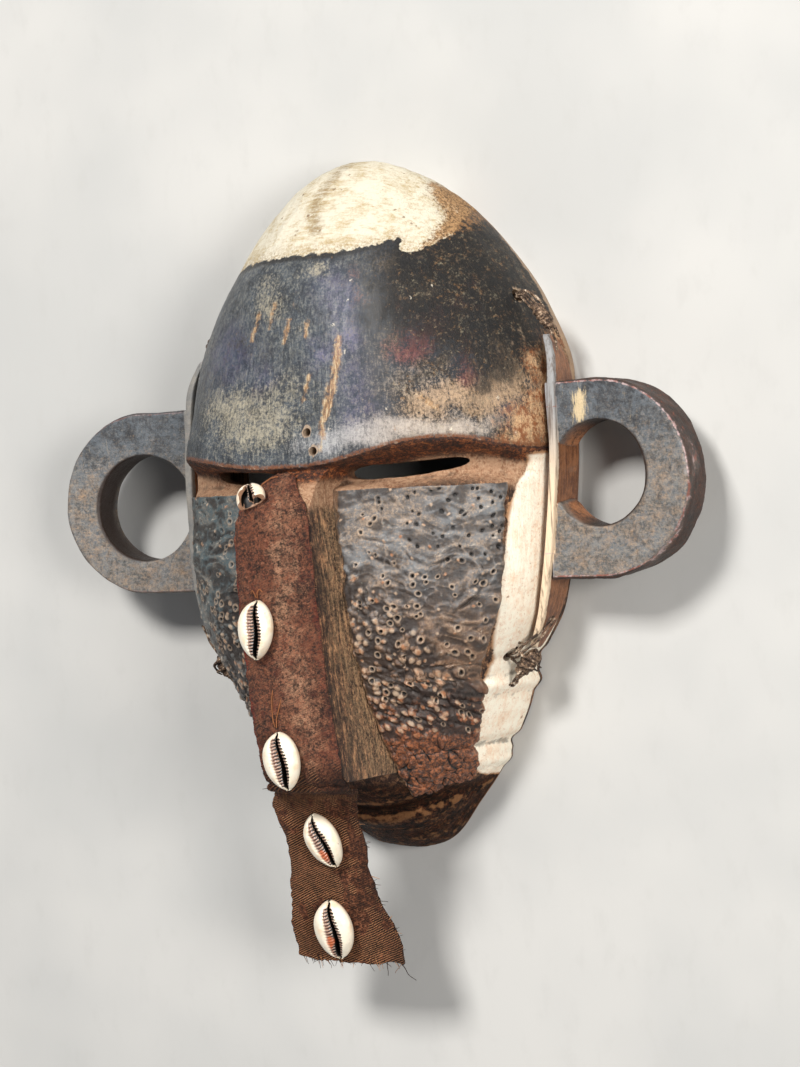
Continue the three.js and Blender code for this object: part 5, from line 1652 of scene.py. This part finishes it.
@dataclass(frozen=True)
class FaceFinish:
    """Bluish dark patina rubbed with pale earth and painted with a sheen and highlight, kaolin on crown and
    bands, bare wood below the brow.
    """

    soot: Color = (24, 27, 31)
    blue: Color = (58, 68, 80)
    blue_deep: Color = (44, 56, 84)
    brown_black: Color = (36, 30, 26)
    violet_sheen: Color = (96, 92, 124)
    red: Color = (138, 72, 66)
    ochre: Color = (164, 118, 68)
    kaolin: Color = (218, 211, 192)
    kaolin_dirt: Color = (176, 144, 98)
    wood: Color = (126, 80, 58)
    wood_dark: Color = (46, 26, 18)
    lid: Color = (182, 142, 110)
    inner: Color = (118, 84, 56)

    def forehead(self, g: Graph) -> Wire:
        """Colour of the patina: dark layers under pale and tan grains, stains, scratches and rubbed spots,
        with a painted purple sheen and a painted highlight above the brow.
        """
        grains = g.grit(1.15, 5)
        strokes = g.grit(1.1, 31, (1, 6, 1))
        clouds = g.grit(13, 12)
        patches = g.grit(4.4, 17)
        warm = g.field("warm")
        both = grains * 0.5 + strokes * 0.3 + patches * 0.2
        base = g.mix(self.soot, self.blue, g.share(clouds * 0.6 + strokes * 0.4, 0.25, 0.75))
        base = g.mix(base, self.brown_black, warm * g.share(clouds, 0.3, 0.6))
        # Blue spots: dark blue patina with a painted purple sheen.
        violet_sheen = g.mix(self.blue_deep, self.violet_sheen, g.share(patches, 0.35, 0.65))
        base = g.mix(base, violet_sheen, g.field("blue") * g.share(both, 0.2, 0.6))
        pale = g.mix((142, 141, 130), (150, 130, 106), warm)
        base = g.mix(base, pale, g.cover(both, 0.26 + clouds * 0.34 - warm * 0.1, 0.16) * 0.66)
        reds = g.cover(grains * 0.5 + strokes * 0.2 + patches * 0.3, g.field("red") * 0.66, 0.12)
        base = g.mix(base, self.red, reds * 0.55)
        base = g.mix(base, g.mix((178, 168, 144), (204, 172, 138), warm),
                     g.cover(both, g.field("dust") * 0.68, 0.18) * 0.78)
        # Pale rubbed patina above the brow with a painted highlight over it.
        base = g.mix(base, g.mix((186, 185, 186), (208, 194, 180), warm),
                     g.cover(both, g.field("sheen") * 0.88, 0.26) * 0.7)
        night = g.share(g.field("high"), 0.2, 0.8) * warm
        share = 0.22 + 0.08 * warm + 0.56 * night + g.field("black") * 0.55
        dark = g.cover(patches * 0.5 + grains * 0.5, share, 0.16)
        # The dark layer is kept off the painted highlight.
        base = g.mix(base, (16, 14, 13), dark * (0.9 - 0.8 * g.field("sheen")))
        flecks = g.cover(g.grit(2.6, 19) * 0.5 + g.grit(0.9, 20) * 0.5, warm * (0.1 + clouds * 0.42), 0.12)
        base = g.mix(base, g.mix((156, 116, 76), (158, 148, 124), g.share(patches, 0.4, 0.6)), flecks * 0.62)
        corner = g.mix((212, 172, 130), (140, 86, 50), g.share(patches, 0.35, 0.65))
        base = g.mix(base, corner, g.cover(both, g.field("corner") * 0.9, 0.18) * 0.88)
        scar = g.border("scar", 2.6, 1.1, 0.9)
        base = g.mix(base, g.mix(self.ochre, (206, 184, 148), g.share(strokes, 0.45, 0.7)),
                     scar * g.cover(strokes, 0.8, 0.2) * 0.8)
        dots = g.speckle(6.0, 0.16)
        base = g.mix(base, (230, 218, 198), dots * 0.6 * g.share(grains, 0.4, 0.6))
        worn_edge = g.edge_wear(4.0, 0.7)
        base = g.mix(base, (176, 150, 124), worn_edge * 0.7)
        brow = 1.0 - g.share(g.math("MULTIPLY", g.field("below"), -1.0) + patches * 1.4, 1.4, 2.6)
        return g.mix(base, (112, 66, 38), brow * g.cover(grains, 0.7))

    def crown(self, g: Graph) -> Wire:
        """Colour of the kaolin on the crown."""
        fibres = g.grit(1.3, 41, (7, 1, 1))
        fine = g.grit(1.1, 43)
        clouds = g.grit(12, 44)
        color = g.mix(self.kaolin, (186, 170, 132), g.share(clouds * 0.6 + fibres * 0.4, 0.44, 0.7) * 0.8)
        stains = g.cover(fibres * 0.6 + fine * 0.4, 0.14 + clouds * 0.4, 0.2)
        color = g.mix(color, self.kaolin_dirt, stains * 0.7)
        near = 1.0 - g.share(g.field("cap"), 0.0, 7.0)
        color = g.mix(color, (140, 112, 70), near * g.cover(fine, 0.5, 0.2) * 0.7)
        streak = g.border("streak", 3.0, 1.6, 2.4)
        color = g.mix(color, (130, 104, 64), streak * g.cover(fibres * 0.6 + fine * 0.4, 0.66, 0.2) * 0.7)
        edge = g.cover(fine * 0.5 + g.grit(4, 46) * 0.5, g.field("fade") * 0.95, 0.16)
        color = g.mix(color, g.mix((176, 138, 96), (84, 62, 42), g.share(fine, 0.4, 0.7)), edge)
        dots = g.speckle(4.0, 0.3)
        return g.mix(color, (112, 80, 46), dots * 0.7)

    def lower(self, g: Graph) -> Wire:
        """Colour of the bare wood: the brow's underside, the lids, the nose's flanks and the chin."""
        fibre = g.grit(2.0, 58, (1, 9, 1), 0.8)
        fine = g.grit(1.1, 60)
        mid = g.grit(6, 62)
        color = g.mix(self.wood_dark, self.wood, g.share(fibre * 0.45 + mid * 0.3 + fine * 0.25, 0.42, 0.58))
        bright = g.cover(fibre * 0.4 + fine * 0.25 + mid * 0.35, 0.5, 0.08)
        color = g.mix(color, (214, 160, 114), bright * 0.85)
        crack = g.group("Wood grain", "Crack", Place=g.place(), Width=2.2, Length=46.0)
        color = g.mix(color, (24, 15, 10), crack * g.share(mid, 0.35, 0.6) * 0.85)
        crusts = g.cover(g.grit(3.2, 59, (1, 2, 1)) * 0.6 + fine * 0.2 + mid * 0.2, 0.58, 0.06)
        color = g.mix(color, (26, 16, 11), crusts * 0.85)
        foot = 1.0 - g.share(g.math("ABSOLUTE", g.field("foot") - 0.2), 0.5, 2.0)
        color = g.mix(color, (206, 168, 126), foot * g.cover(fibre * 0.4 + fine * 0.6, 0.5, 0.2) * 0.8)
        rooted = g.mix((96, 56, 34), (170, 128, 94), g.share(mid * 0.5 + fine * 0.5, 0.3, 0.7))
        color = g.mix(color, rooted, g.field("root") * g.share(fine, 0.2, 0.5) * 0.85)
        below = g.field("below")
        lid = g.share(below, 5.0, 8.5) * (1.0 - g.share(below, 14.0, 19.0))
        lids = g.mix((126, 80, 50), self.lid, g.share(mid * 0.5 + fine * 0.5, 0.3, 0.58))
        lids = g.mix(lids, (206, 174, 144), g.cover(fine, 0.36) * 0.6)
        color = g.mix(color, lids, lid * 0.92)
        under = 1.0 - g.share(below, 4.4, 7.6)
        dark = g.mix((40, 17, 8), (150, 78, 36), g.cover(fine * 0.6 + mid * 0.4, 0.56, 0.12))
        dark = g.mix(dark, (206, 130, 70), g.cover(fine * 0.6 + mid * 0.4, 0.4, 0.1) * 0.8)
        dark = g.mix(dark, (20, 10, 6), g.cover(g.grit(2.6, 61) * 0.7 + fine * 0.3, 0.5, 0.08) * 0.85)
        color = g.mix(color, dark, under)
        # Painted shade just under the brow's edge.
        color = g.mix(color, (34, 17, 10), (1.0 - g.share(below, 0.2, 1.4)) * 0.7)
        rubbed = g.edge_wear(4.0, 0.85)
        chin = g.mix((14, 7, 4), (66, 33, 17), g.share(g.grit(3.4, 66) * 0.6 + fine * 0.4, 0.4, 0.7))
        slanting = g.grit(1.6, 68, (6, 1.4, 1))
        chin = g.mix(chin, (140, 92, 58), g.cover(slanting * 0.5 + fine * 0.3 + mid * 0.2, 0.4, 0.1) * 0.62)
        chin = g.mix(chin, (168, 118, 78), rubbed * 0.5)
        return g.mix(color, chin, g.field("chin"))

    def build(self) -> bpy.types.Material:
        """Makes the material."""
        g = new_graph("face_wood")
        over = g.border(g.field("below") * -1.0, 2.0, 0.35, 0.2)
        color = g.mix(self.lower(g), self.forehead(g), over)
        cap = g.border("cap", 4.5, 1.1, 0.3)
        line = 1.0 - g.share(g.math("ABSOLUTE", g.field("cap") + 0.9), 0.2, 1.9)
        color = g.mix(color, (20, 17, 16), line * (0.9 - 0.9 * g.field("warm")))
        beyond = g.cover(g.grit(2.0, 75), g.field("fade") * 0.6)
        color = g.mix(color, (158, 116, 74), beyond * 0.75)
        color = g.mix(color, self.crown(g), cap)
        band = g.border("band", 6.0, 0.9, 0.2)
        grit = g.grit(1.2, 70)
        upright = g.grit(1.8, 72, (1, 6, 1))
        warmer = g.cover(g.grit(8, 74) * 0.5 + upright * 0.5, 0.42, 0.2)
        chalk = g.mix((255, 247, 228), (240, 208, 178), warmer)
        chalk = g.mix(chalk, (214, 168, 130), g.cover(grit * 0.4 + g.grit(7, 76) * 0.6, 0.3, 0.14) * 0.7)
        chalk = g.mix(chalk, (176, 126, 86), g.cover(grit, 0.2, 0.1) * 0.6)
        chalk = g.mix(chalk, (150, 108, 70), g.speckle(5.0, 0.2) * 0.7)
        rim = g.share(g.field("band"), 0.1, 1.3)
        chalk = g.mix((176, 132, 96), chalk, rim)
        color = g.mix(color, chalk, band)
        tool = g.group("Wood grain", "Value", Place=g.place(), Width=0.9, Length=20.0)
        raw = g.mix((72, 46, 28), self.inner, g.share(tool, 0.3, 0.65))
        inner = g.field("cavity")
        color = g.mix(color, raw, inner)
        # Dirt and painted shade in the hollows, except on the kaolin cap.
        dirt_and_shade = g.dust(5.0, 0.35)
        color = g.mix(color, (40, 28, 18), dirt_and_shade * 0.6 * (1.0 - cap))
        chalky = g.most(cap, band)
        warm = g.field("warm") * over
        rough = 0.36 + 0.24 * g.noise(4, 80, 6) + chalky * 0.34 + inner * 0.2 + (1.0 - over) * 0.16
        fine = g.noise(0.8, 90, 4, 0.75)
        bare = (1.0 - over) * (1.0 - chalky) * (1.0 - inner)
        bark = g.noise(1.4, 96, 6, 0.72, (1, 12, 1))
        height = fine * 0.5 + tool * 0.3 + g.noise(3, 93, 5) * 0.7 + chalky * (0.35 + 0.3 * fine)
        height = height + bare * bark * 2.4
        coat = over * (1.0 - chalky) * 0.2 * (1.0 - 0.7 * warm)
        return finish(g, color, rough, height, 0.6, coat, 0.5 - 0.34 * g.field("chin") - 0.2 * warm)


@dataclass(frozen=True)
class EarFinish:
    """Blue-grey patina over brown wood, rubbed on the edges; the right ear's outer wall is charred; painted
    shade in the hole and the hollows.
    """

    side: Side
    body: Color = (86, 92, 98)
    dark: Color = (42, 44, 48)
    ash: Color = (158, 150, 138)
    tan: Color = (168, 132, 96)
    hole: Color = (158, 104, 66)
    char: Color = (30, 22, 18)

    def build(self) -> bpy.types.Material:
        """Makes the material."""
        g = new_graph(f"ear_wood_{self.side.word}")
        charred = self.side is Side.RIGHT
        fine = g.grit(1.2, 5)
        mid = g.grit(7, 7)
        strokes = g.grit(1.1, 9, (5, 1, 1))
        both = fine * 0.5 + strokes * 0.25 + mid * 0.25
        color = g.mix(self.dark, self.body, g.share(g.grit(11, 11) * 0.5 + g.grit(3, 12) * 0.5, 0.34, 0.62))
        lower = 1.0 - g.share(g.field("up"), 10.0, 44.0) * 0.6
        color = g.mix(color, self.ash, g.cover(both, 0.56 * lower, 0.24) * 0.62)
        color = g.mix(color, self.tan, g.cover(both * 0.6 + g.grit(5, 22) * 0.4, 0.42 * lower, 0.18) * 0.7)
        worn_dark = g.cover(g.grit(2.4, 33) * 0.6 + mid * 0.4, 0.44, 0.1)
        color = g.mix(color, (36, 36, 40), worn_dark * 0.62)
        scuffed = g.grit(0.9, 14, (1, 7, 1))
        color = g.mix(color, (208, 186, 146), g.cover(scuffed, g.field("scuff") * 0.95) * 0.85)
        slat = g.field("slat")
        grain = g.grit(1.3, 44, (1, 26, 1), 0.66)
        high = g.share(g.field("up"), 2.0, 40.0)
        pale = g.mix((222, 198, 168), (120, 128, 136), high * (0.85 if charred else 1.0))
        pale = g.mix(pale, (84, 64, 48), g.cover(grain, 0.34, 0.16) * 0.8)
        bare = g.mix((88, 50, 28), (142, 94, 60), g.share(grain * 0.5 + mid * 0.5, 0.34, 0.66))
        edge = g.border(g.field("front") + 2.2, 5.0, 0.5, 0.3)
        bare = g.mix(bare, pale if charred else g.mix(self.body, self.ash, mid), edge)
        color = g.mix(color, bare, slat)
        hole = g.mix(self.hole, (66, 38, 22), g.share(mid * 0.5 + fine * 0.5, 0.4, 0.65))
        # Painted shade on the hole's wall away from the slat.
        hole = g.mix((40, 27, 20), hole, g.field("inward"))
        color = g.mix(color, hole, g.field("hole"))
        wall = g.field("wall")
        burnt = g.mix(self.char, (66, 40, 28), g.share(mid * 0.5 + fine * 0.5, 0.35, 0.65))
        burnt = g.mix(burnt, (160, 76, 44), g.cover(g.grit(2.2, 31), 0.16, 0.1) * 0.85)
        color = g.mix(color, burnt, wall * (1.0 if charred else 0.45))
        line = g.border(0.16 - g.math("ABSOLUTE", g.field("corner")), 2.4, 0.34, 0.2)
        color = g.mix(color, g.mix((134, 76, 60), (184, 160, 158), g.share(mid, 0.4, 0.6)),
                      line * (0.85 if charred else 0.3))
        worn = g.edge_wear(5.0, 0.6)
        color = g.mix(color, (150, 146, 150), worn * 0.35 * (1.0 - wall))
        # Dirt and painted shade in the hollows.
        dirt_and_shade = g.dust(5.0, 0.3)
        color = g.mix(color, (34, 26, 20), dirt_and_shade * 0.6)
        height = fine * 0.5 + g.noise(3.2, 51, 4) * 0.6 + grain * 0.3
        height = height + wall * g.grit(3.4, 55) * 0.8
        return finish(g, color, 0.4 + 0.2 * fine + wall * 0.15, height, 0.35, coat=0.08)


@dataclass(frozen=True)
class SkinFinish:
    """Thin dark skin: blue-grey and tan in fine grains above, red-brown below, with black punch marks,
    painted shade in its creases, hollows and holes, and painted highlights on its crests, bumps and lips.
    """

    side: Side
    grey: Color = (112, 114, 116)
    brown: Color = (112, 82, 60)
    tan: Color = (172, 148, 124)
    deep: Color = (40, 31, 27)
    rust: Color = (122, 66, 38)
    pale: Color = (208, 180, 152)
    green: Color = (74, 88, 92)

    def build(self) -> bpy.types.Material:
        """Makes the material."""
        g = new_graph(f"cheek_skin_{self.side.word}")
        cool = self.side is Side.LEFT
        down = g.field("down")
        fine = g.noise(0.9, 3, 4, 0.75)
        mid = g.noise(5, 8, 6, 0.72)
        wide = g.noise(16, 11, 4)
        top = self.green if cool else g.mix(self.grey, (96, 92, 90), g.share(wide, 0.4, 0.6))
        cooling = 0.25 if cool else 1.0
        color = g.mix(top, self.brown, g.share(down + (mid - 0.5) * 1.1, 0.12, 0.55) * cooling)
        grains = g.share(fine * 0.55 + mid * 0.45 + wide * 0.15, 0.53, 0.68)
        color = g.mix(color, self.tan, grains * (0.62 - 0.3 * down) * (0.55 if cool else 1.0))
        rusting = g.share(down + (mid - 0.5) * 0.6, 0.64, 0.86)
        color = g.mix(color, self.rust, rusting * (0.2 if cool else 0.9))
        # Painted shade in the crumples' creases.
        soft = g.share(g.field("crumple"), 0.1, 0.5)
        color = g.mix(g.mix(color, self.deep, 0.8), color, soft)
        # Painted highlight on the crumples' crests.
        crest_highlight = g.share(g.field("crumple") + (fine - 0.5) * 0.6, 0.7, 1.02)
        color = g.mix(color, (198, 184, 168), crest_highlight * 0.58)
        rusty = g.share(down + (mid - 0.5) * 0.3, 0.68, 0.8) * (0.0 if cool else 1.0)
        scales = g.mix((46, 27, 19), (164, 98, 58), g.share(g.grit(1.6, 25), 0.4, 0.66))
        color = g.mix(color, scales, rusty * 0.7)
        # Painted shade between the bumps, in the deep folds and in the cracks.
        color = g.mix(color, self.deep, g.share(g.field("hollow") + (fine - 0.5) * 0.3, 0.25, 0.9) * 0.9)
        # Pale and orange-tan tops of the bumps: their own colour with a painted highlight.
        raised = g.share(g.field("raised") + (fine - 0.5) * 0.5, 0.5, 1.0)
        tip_colour_and_highlight = g.mix(self.pale, (176, 112, 66), g.share(mid, 0.46, 0.6))
        color = g.mix(color, tip_colour_and_highlight, raised * (0.72 - 0.2 * down))
        # Painted highlight on the lips round the punch holes.
        color = g.mix(color, self.pale, g.share(g.field("lip"), 0.3, 1.0) * 0.4)
        # Dirt and painted shade in the hollows.
        dirt_and_shade = g.dust(4.0, 0.55)
        color = g.mix(color, self.deep, dirt_and_shade * 0.6)
        flecks = g.speckle(2.4, 0.25)
        color = g.mix(color, (176, 182, 172), flecks * (0.5 if cool else 0.15))
        # Painted shade inside the punch holes and the cracks.
        color = g.mix(color, (12, 8, 7), g.share(g.field("punch"), 0.3, 0.75))
        edge = 1.0 - g.share(g.field("border"), 0.1, 0.9)
        color = g.mix(color, (150, 118, 90), edge * g.share(mid, 0.4, 0.6) * 0.7)
        rough = 0.38 + 0.26 * fine + grains * 0.12
        return finish(g, color, rough, fine * 0.9 + g.noise(2.2, 21, 5, 0.7) * 0.7, 0.45, coat=0.2)


@dataclass(frozen=True)
class ClothFinish:
    """Twill soaked in red-brown pigment: crusted and stippled on the nose, bare weave on the hanging part,
    with painted shade in its hollows and gaps and under the nose's tip, and painted highlights on the threads
    and the ridge.
    """

    brown: Color = (146, 92, 62)
    dark: Color = (52, 29, 21)
    tan: Color = (224, 174, 138)
    orange: Color = (158, 88, 54)
    red: Color = (150, 48, 30)
    plum: Color = (104, 84, 86)

    def build(self) -> bpy.types.Material:
        """Makes the material."""
        g = new_graph("strip_cloth")
        fine = g.grit(1.0, 4)
        mid = g.grit(4, 6)
        wide = g.grit(15, 9)
        other = g.grit(9, 19)
        tail = g.share(g.field("down"), 108.0, 122.0)
        nose = 1.0 - tail
        soaked = g.share(mid * 0.3 + fine * 0.5 + other * 0.2 - tail * 0.06, 0.38, 0.56)
        color = g.mix(self.dark, self.brown, soaked)
        color = g.mix(color, self.plum, g.cover(other * 0.6 + fine * 0.4, 0.42 - 0.2 * tail, 0.26) * 0.4)
        # Tan rubbed grains, more along the nose's ridge, where they also stand for a painted highlight.
        middle = 1.0 - g.share(g.math("ABSOLUTE", g.field("right") - 0.3), 0.1, 0.85)
        rubbed = g.cover(fine * 0.5 + mid * 0.25 + wide * 0.25, 0.22 + middle * 0.36 - 0.2 * tail, 0.12)
        color = g.mix(color, self.tan, rubbed * (0.72 - 0.4 * tail))
        color = g.mix(color, self.orange, g.cover(fine * 0.6 + other * 0.4, 0.44 - 0.14 * tail, 0.1) * 0.75)
        clots = g.cover(g.grit(4, 15) * 0.7 + fine * 0.3, 0.42, 0.08)
        color = g.mix(color, (92, 32, 20), clots * (0.75 - 0.4 * tail))
        color = g.mix(color, (26, 13, 9), g.cover(g.grit(1.8, 16) * 0.6 + wide * 0.4, 0.44, 0.08) * 0.85)
        streaks = g.cover(g.grit(1.5, 23, (1, 4, 1)) * 0.6 + other * 0.4, 0.34, 0.1)
        color = g.mix(color, (104, 38, 22), streaks * nose * 0.45)
        side = 1.0 - g.share(g.field("edge") + (mid - 0.5) * 3.0, 0.0, 2.0)
        left_side = 1.0 - 0.7 * g.share(g.field("right"), -0.2, 0.4)
        reddened = side * nose * left_side * g.cover(other * 0.5 + fine * 0.5, 0.5, 0.16)
        color = g.mix(color, self.red, reddened * 0.9)
        crust = g.share(g.field("crumb") + (fine - 0.5) * 0.7, 0.3, 0.8)
        crumbs = g.mix((40, 20, 14), (140, 78, 50), g.cover(fine * 0.7 + mid * 0.3, 0.5, 0.14))
        crumbs = g.mix(crumbs, (196, 164, 140), g.cover(fine, 0.16, 0.1) * 0.7)
        color = g.mix(color, crumbs, crust * (0.6 - 0.1 * tail))
        height_weave = g.group("Weave", "Height", Across=g.field("across"), Down=g.field("down"))
        gap = g.group("Weave", "Gap", Across=g.field("across"), Down=g.field("down"))
        bare = (1.0 - crust * 0.85) * (tail * 0.75 + 0.25)
        # Painted shade in the gaps of the weave and a painted highlight on its threads.
        color = g.mix(color, (22, 12, 9), gap * bare * 0.9)
        color = g.mix(color, (214, 154, 106), g.share(height_weave, 0.6, 0.9) * tail * bare * 0.85)
        # Painted shadow under the nose's tip at the top of the hanging part, and a darker right side.
        tip_shadow_and_dark_edge = tail * (1.0 - g.share(g.field("down"), 122.0, 136.0)) * 0.5
        tip_shadow_and_dark_edge = tip_shadow_and_dark_edge + tail * g.share(g.field("right"), 0.55, 0.95) * 0.5
        color = g.mix(color, (20, 13, 11), tip_shadow_and_dark_edge * 0.85 * g.cover(mid, 0.85, 0.2))
        # Painted shade in the low places of the crust and folds on the nose.
        color = g.mix(color, (30, 17, 12), (1.0 - g.share(g.field("relief"), -0.25, 0.1)) * 0.5 * nose)
        # Dirt and painted shade in the hollows.
        hollow = g.dust(3.0, 0.5)
        color = g.mix(color, (30, 16, 11), hollow * 0.6)
        sewn = g.mix((44, 28, 20), (166, 104, 62), g.share(g.field("thread") + (fine - 0.5) * 0.3, 0.5, 0.9))
        color = g.mix(color, sewn, g.share(g.field("thread"), 0.3, 0.45))
        height = height_weave * bare * 0.9 + fine * 1.1 + mid * 0.6
        return finish(g, color, 0.52 + 0.3 * fine + 0.14 * tail, height, 0.85, specular=0.45 - 0.2 * tail)


@dataclass(frozen=True)
class ShellFinish:
    """Cream cowrie, brown and ribbed beside the slot, which is painted black as shade, with stains."""

    cream: Color = (236, 226, 206)
    warm: Color = (226, 192, 150)
    ribs: Color = (158, 122, 104)
    grooves: Color = (92, 58, 46)
    stain: Color = (186, 92, 46)

    def build(self) -> bpy.types.Material:
        """Makes the material."""
        g = new_graph("shell")
        fine = g.noise(1.6, 2, 5)
        color = g.mix(self.cream, self.warm, g.share(g.noise(5, 4, 4), 0.45, 0.7) * 0.6)
        under = 1.0 - g.share(g.field("up"), 0.08, 0.5)
        color = g.mix(color, (156, 108, 76), under * 0.85)
        near = g.field("near")
        color = g.mix(color, self.ribs, g.field("zone") * g.share(near, 0.0, 0.3) * (0.75 + 0.25 * fine))
        # Brown grooves between the teeth, turning into painted shade towards the slot.
        deep = g.mix(self.grooves, (20, 12, 9), g.share(near, 0.45, 0.9))
        color = g.mix(color, deep, g.share(g.field("teeth"), 0.2, 0.6) * g.share(near, -0.1, 0.35))
        # Painted shade in the slot's opening.
        color = g.mix(color, (10, 7, 5), g.share(g.field("slot"), 0.25, 0.7))
        stained = g.share(g.field("stain") + (fine - 0.5) * 0.5, 0.6, 1.0)
        color = g.mix(color, self.stain, stained * 0.75 * g.share(g.field("zone"), 0.05, 0.6))
        dots = g.speckle(3.0, 0.14)
        color = g.mix(color, (150, 98, 62), dots * 0.6)
        return finish(g, color, 0.26 + 0.16 * fine, fine, 0.05, coat=0.35)


@dataclass(frozen=True)
class CordFinish:
    """Twisted plant fibre, dark with soot and pale where it is rubbed, with painted shade in its hollows."""

    strand: Color = (150, 122, 98)
    dark: Color = (46, 34, 27)
    pale: Color = (216, 200, 178)

    def build(self) -> bpy.types.Material:
        """Makes the material."""
        g = new_graph("tie_cord")
        fine = g.noise(0.7, 3, 5, 0.72)
        mid = g.noise(3.4, 5, 5, 0.7)
        color = g.mix(self.dark, self.strand, g.share(mid * 0.5 + fine * 0.5, 0.44, 0.62))
        light = g.share(g.math("ABSOLUTE", g.field("strand") - 1.5), 0.3, 0.7)
        color = g.mix(color, self.pale, g.share(fine * 0.45 + mid * 0.5 + light * 0.1, 0.58, 0.7) * 0.85)
        color = g.mix(color, self.dark, 1.0 - g.share(g.field("strand"), 0.1, 0.6))
        # Dirt and painted shade in the hollows between the wraps and strands.
        dirt_and_shade = g.dust(3.0, 0.45)
        color = g.mix(color, self.dark, dirt_and_shade * 0.8)
        return finish(g, color, 0.62 + 0.2 * fine, fine, 0.2, specular=0.35)


def floor_finish() -> bpy.types.Material:
    """Makes the pale paper of the floor, with a faint fibre."""
    g = new_graph("floor")
    fibre = g.noise(9, 2, 5, 0.6, (1, 2, 1))
    color = g.mix((178, 178, 176), (188, 187, 184), g.share(g.noise(160, 5, 3), 0.35, 0.65))
    color = g.mix(color, (172, 171, 168), g.share(fibre, 0.5, 0.75) * 0.25)
    return finish(g, color, 0.85, fibre, 0.05, specular=0.3)


def dress(piece: bpy.types.Object, material: bpy.types.Material) -> None:
    """Gives a piece its only material."""
    piece.data.materials.clear()
    piece.data.materials.append(material)


def build_pieces() -> None:
    """Builds and finishes every piece."""
    build_shared()
    face = FaceShell().build()
    dress(face, FaceFinish().build())
    keep(face, "face_wood", "face_shell")
    for ear in EARS:
        piece = ear.build()
        dress(piece, EarFinish(ear.side).build())
        keep(piece, "ear_wood", f"ear_{ear.side.word}")
    for side in Side:
        piece = CheekSkin(side, columns=170 if side is Side.RIGHT else 110).build()
        dress(piece, SkinFinish(side).build())
        keep(piece, "cheek_skin", f"cheek_skin_{side.word}")
    strip = NoseCloth()
    woven = ClothFinish().build()
    piece = strip.build()
    dress(piece, woven)
    keep(piece, "strip_cloth", "nose_cloth")
    threads = strip.threads()
    dress(threads, woven)
    keep(threads, "strip_cloth")
    strip.declare(piece, threads)
    shell = ShellFinish().build()
    for spec in [BrokenCowrie("cowrie_1", -20.4, 5.8, 14, 601, 14.4, 11.8, 6.2, 0.4, 4, 0.9), *SHELLS]:
        piece = spec.build()
        dress(piece, shell)
        keep(piece, "shell", spec.name)
    cord = CordFinish().build()
    for tie in LASHINGS:
        piece = tie.build()
        dress(piece, cord)
        keep(piece, "tie_cord", tie.name)


@dataclass(frozen=True)
class PhotoView:
    """The photograph's view: turned to the right, level with the middle, with a slight roll."""

    turn: float = math.radians(28)
    tilt: float = math.radians(1)
    roll: float = math.radians(2.8)
    distance: float = 1.0
    target: tuple[float, float, float] = (0.0218, 0.0106, 0.040)
    pixels: float = 2521.0
    tall: float = 1067.0
    sensor: float = 36.0
    far: float = 20.0

    def build(self) -> None:
        """Makes the camera."""
        data = bpy.data.cameras.new("camera")
        data.sensor_fit = "AUTO"
        data.sensor_width = self.sensor
        data.lens = self.pixels * self.sensor / self.tall
        data.clip_end = self.far
        camera = bpy.data.objects.new("camera", data)
        out = Vector((math.sin(self.turn) * math.cos(self.tilt), math.sin(self.tilt),
                      math.cos(self.turn) * math.cos(self.tilt)))
        right = Vector((math.cos(self.turn), 0, -math.sin(self.turn)))
        up = out.cross(right)
        c, s = math.cos(self.roll), math.sin(self.roll)
        across, over = right * c - up * s, right * s + up * c
        turn = Matrix((across, over, out)).transposed().to_4x4()
        camera.matrix_world = Matrix.Translation(Vector(self.target) + out * self.distance) @ turn
        bpy.context.scene.collection.objects.link(camera)
        bpy.context.scene.camera = camera


@dataclass(frozen=True)
class Lamp:
    """A soft square lamp, aimed at the middle of the mask."""

    name: str
    place: Point
    size: float
    power: float
    color: Color

    def build(self) -> None:
        """Makes the lamp."""
        data = bpy.data.lights.new(self.name, "AREA")
        data.size = self.size
        data.energy = self.power
        data.color = self.color
        lamp = bpy.data.objects.new(self.name, data)
        lamp.location = self.place
        aim = Vector((0.0, 0.0, 0.03)) - Vector(self.place)
        lamp.rotation_euler = aim.to_track_quat("-Z", "Y").to_euler()
        bpy.context.scene.collection.objects.link(lamp)


LAMPS = [Lamp("key", (-0.2, 1.45, 2.25), 0.6, 86, (1.0, 0.98, 0.95)),
         Lamp("side", (1.6, 0.1, 1.25), 0.7, 36, (1.0, 0.97, 0.93)),
         Lamp("low", (-0.9, -1.2, 1.0), 0.9, 4, (0.93, 0.96, 1.0))]


def build_stage() -> None:
    """Makes the pale floor and the soft lights."""
    edge = np.linspace(-2500, 2500, 3)
    x, y = np.meshgrid(edge, edge, indexing="ij")
    floor = Shape.sheet(np.stack([x, y, 0 * x - 0.02], -1), np.stack([x, y, 0 * x - 10], -1)).build("floor")
    dress(floor, floor_finish())
    for lamp in LAMPS:
        lamp.build()
    world = bpy.data.worlds.new("world")
    world.use_nodes = True
    background = world.node_tree.nodes["Background"]
    background.inputs["Color"].default_value = (0.9, 0.93, 1.0, 1)
    background.inputs["Strength"].default_value = 0.12
    bpy.context.scene.world = world
    bpy.context.scene.view_settings.view_transform = "Standard"


def main() -> None:
    """Builds the mask, the floor, the lights and the camera, and notes the sizes."""
    build_pieces()
    build_stage()
    PhotoView().build()
    bpy.context.view_layer.update()


if __name__ == "__main__":
    logging.basicConfig(level=logging.INFO)
    main()
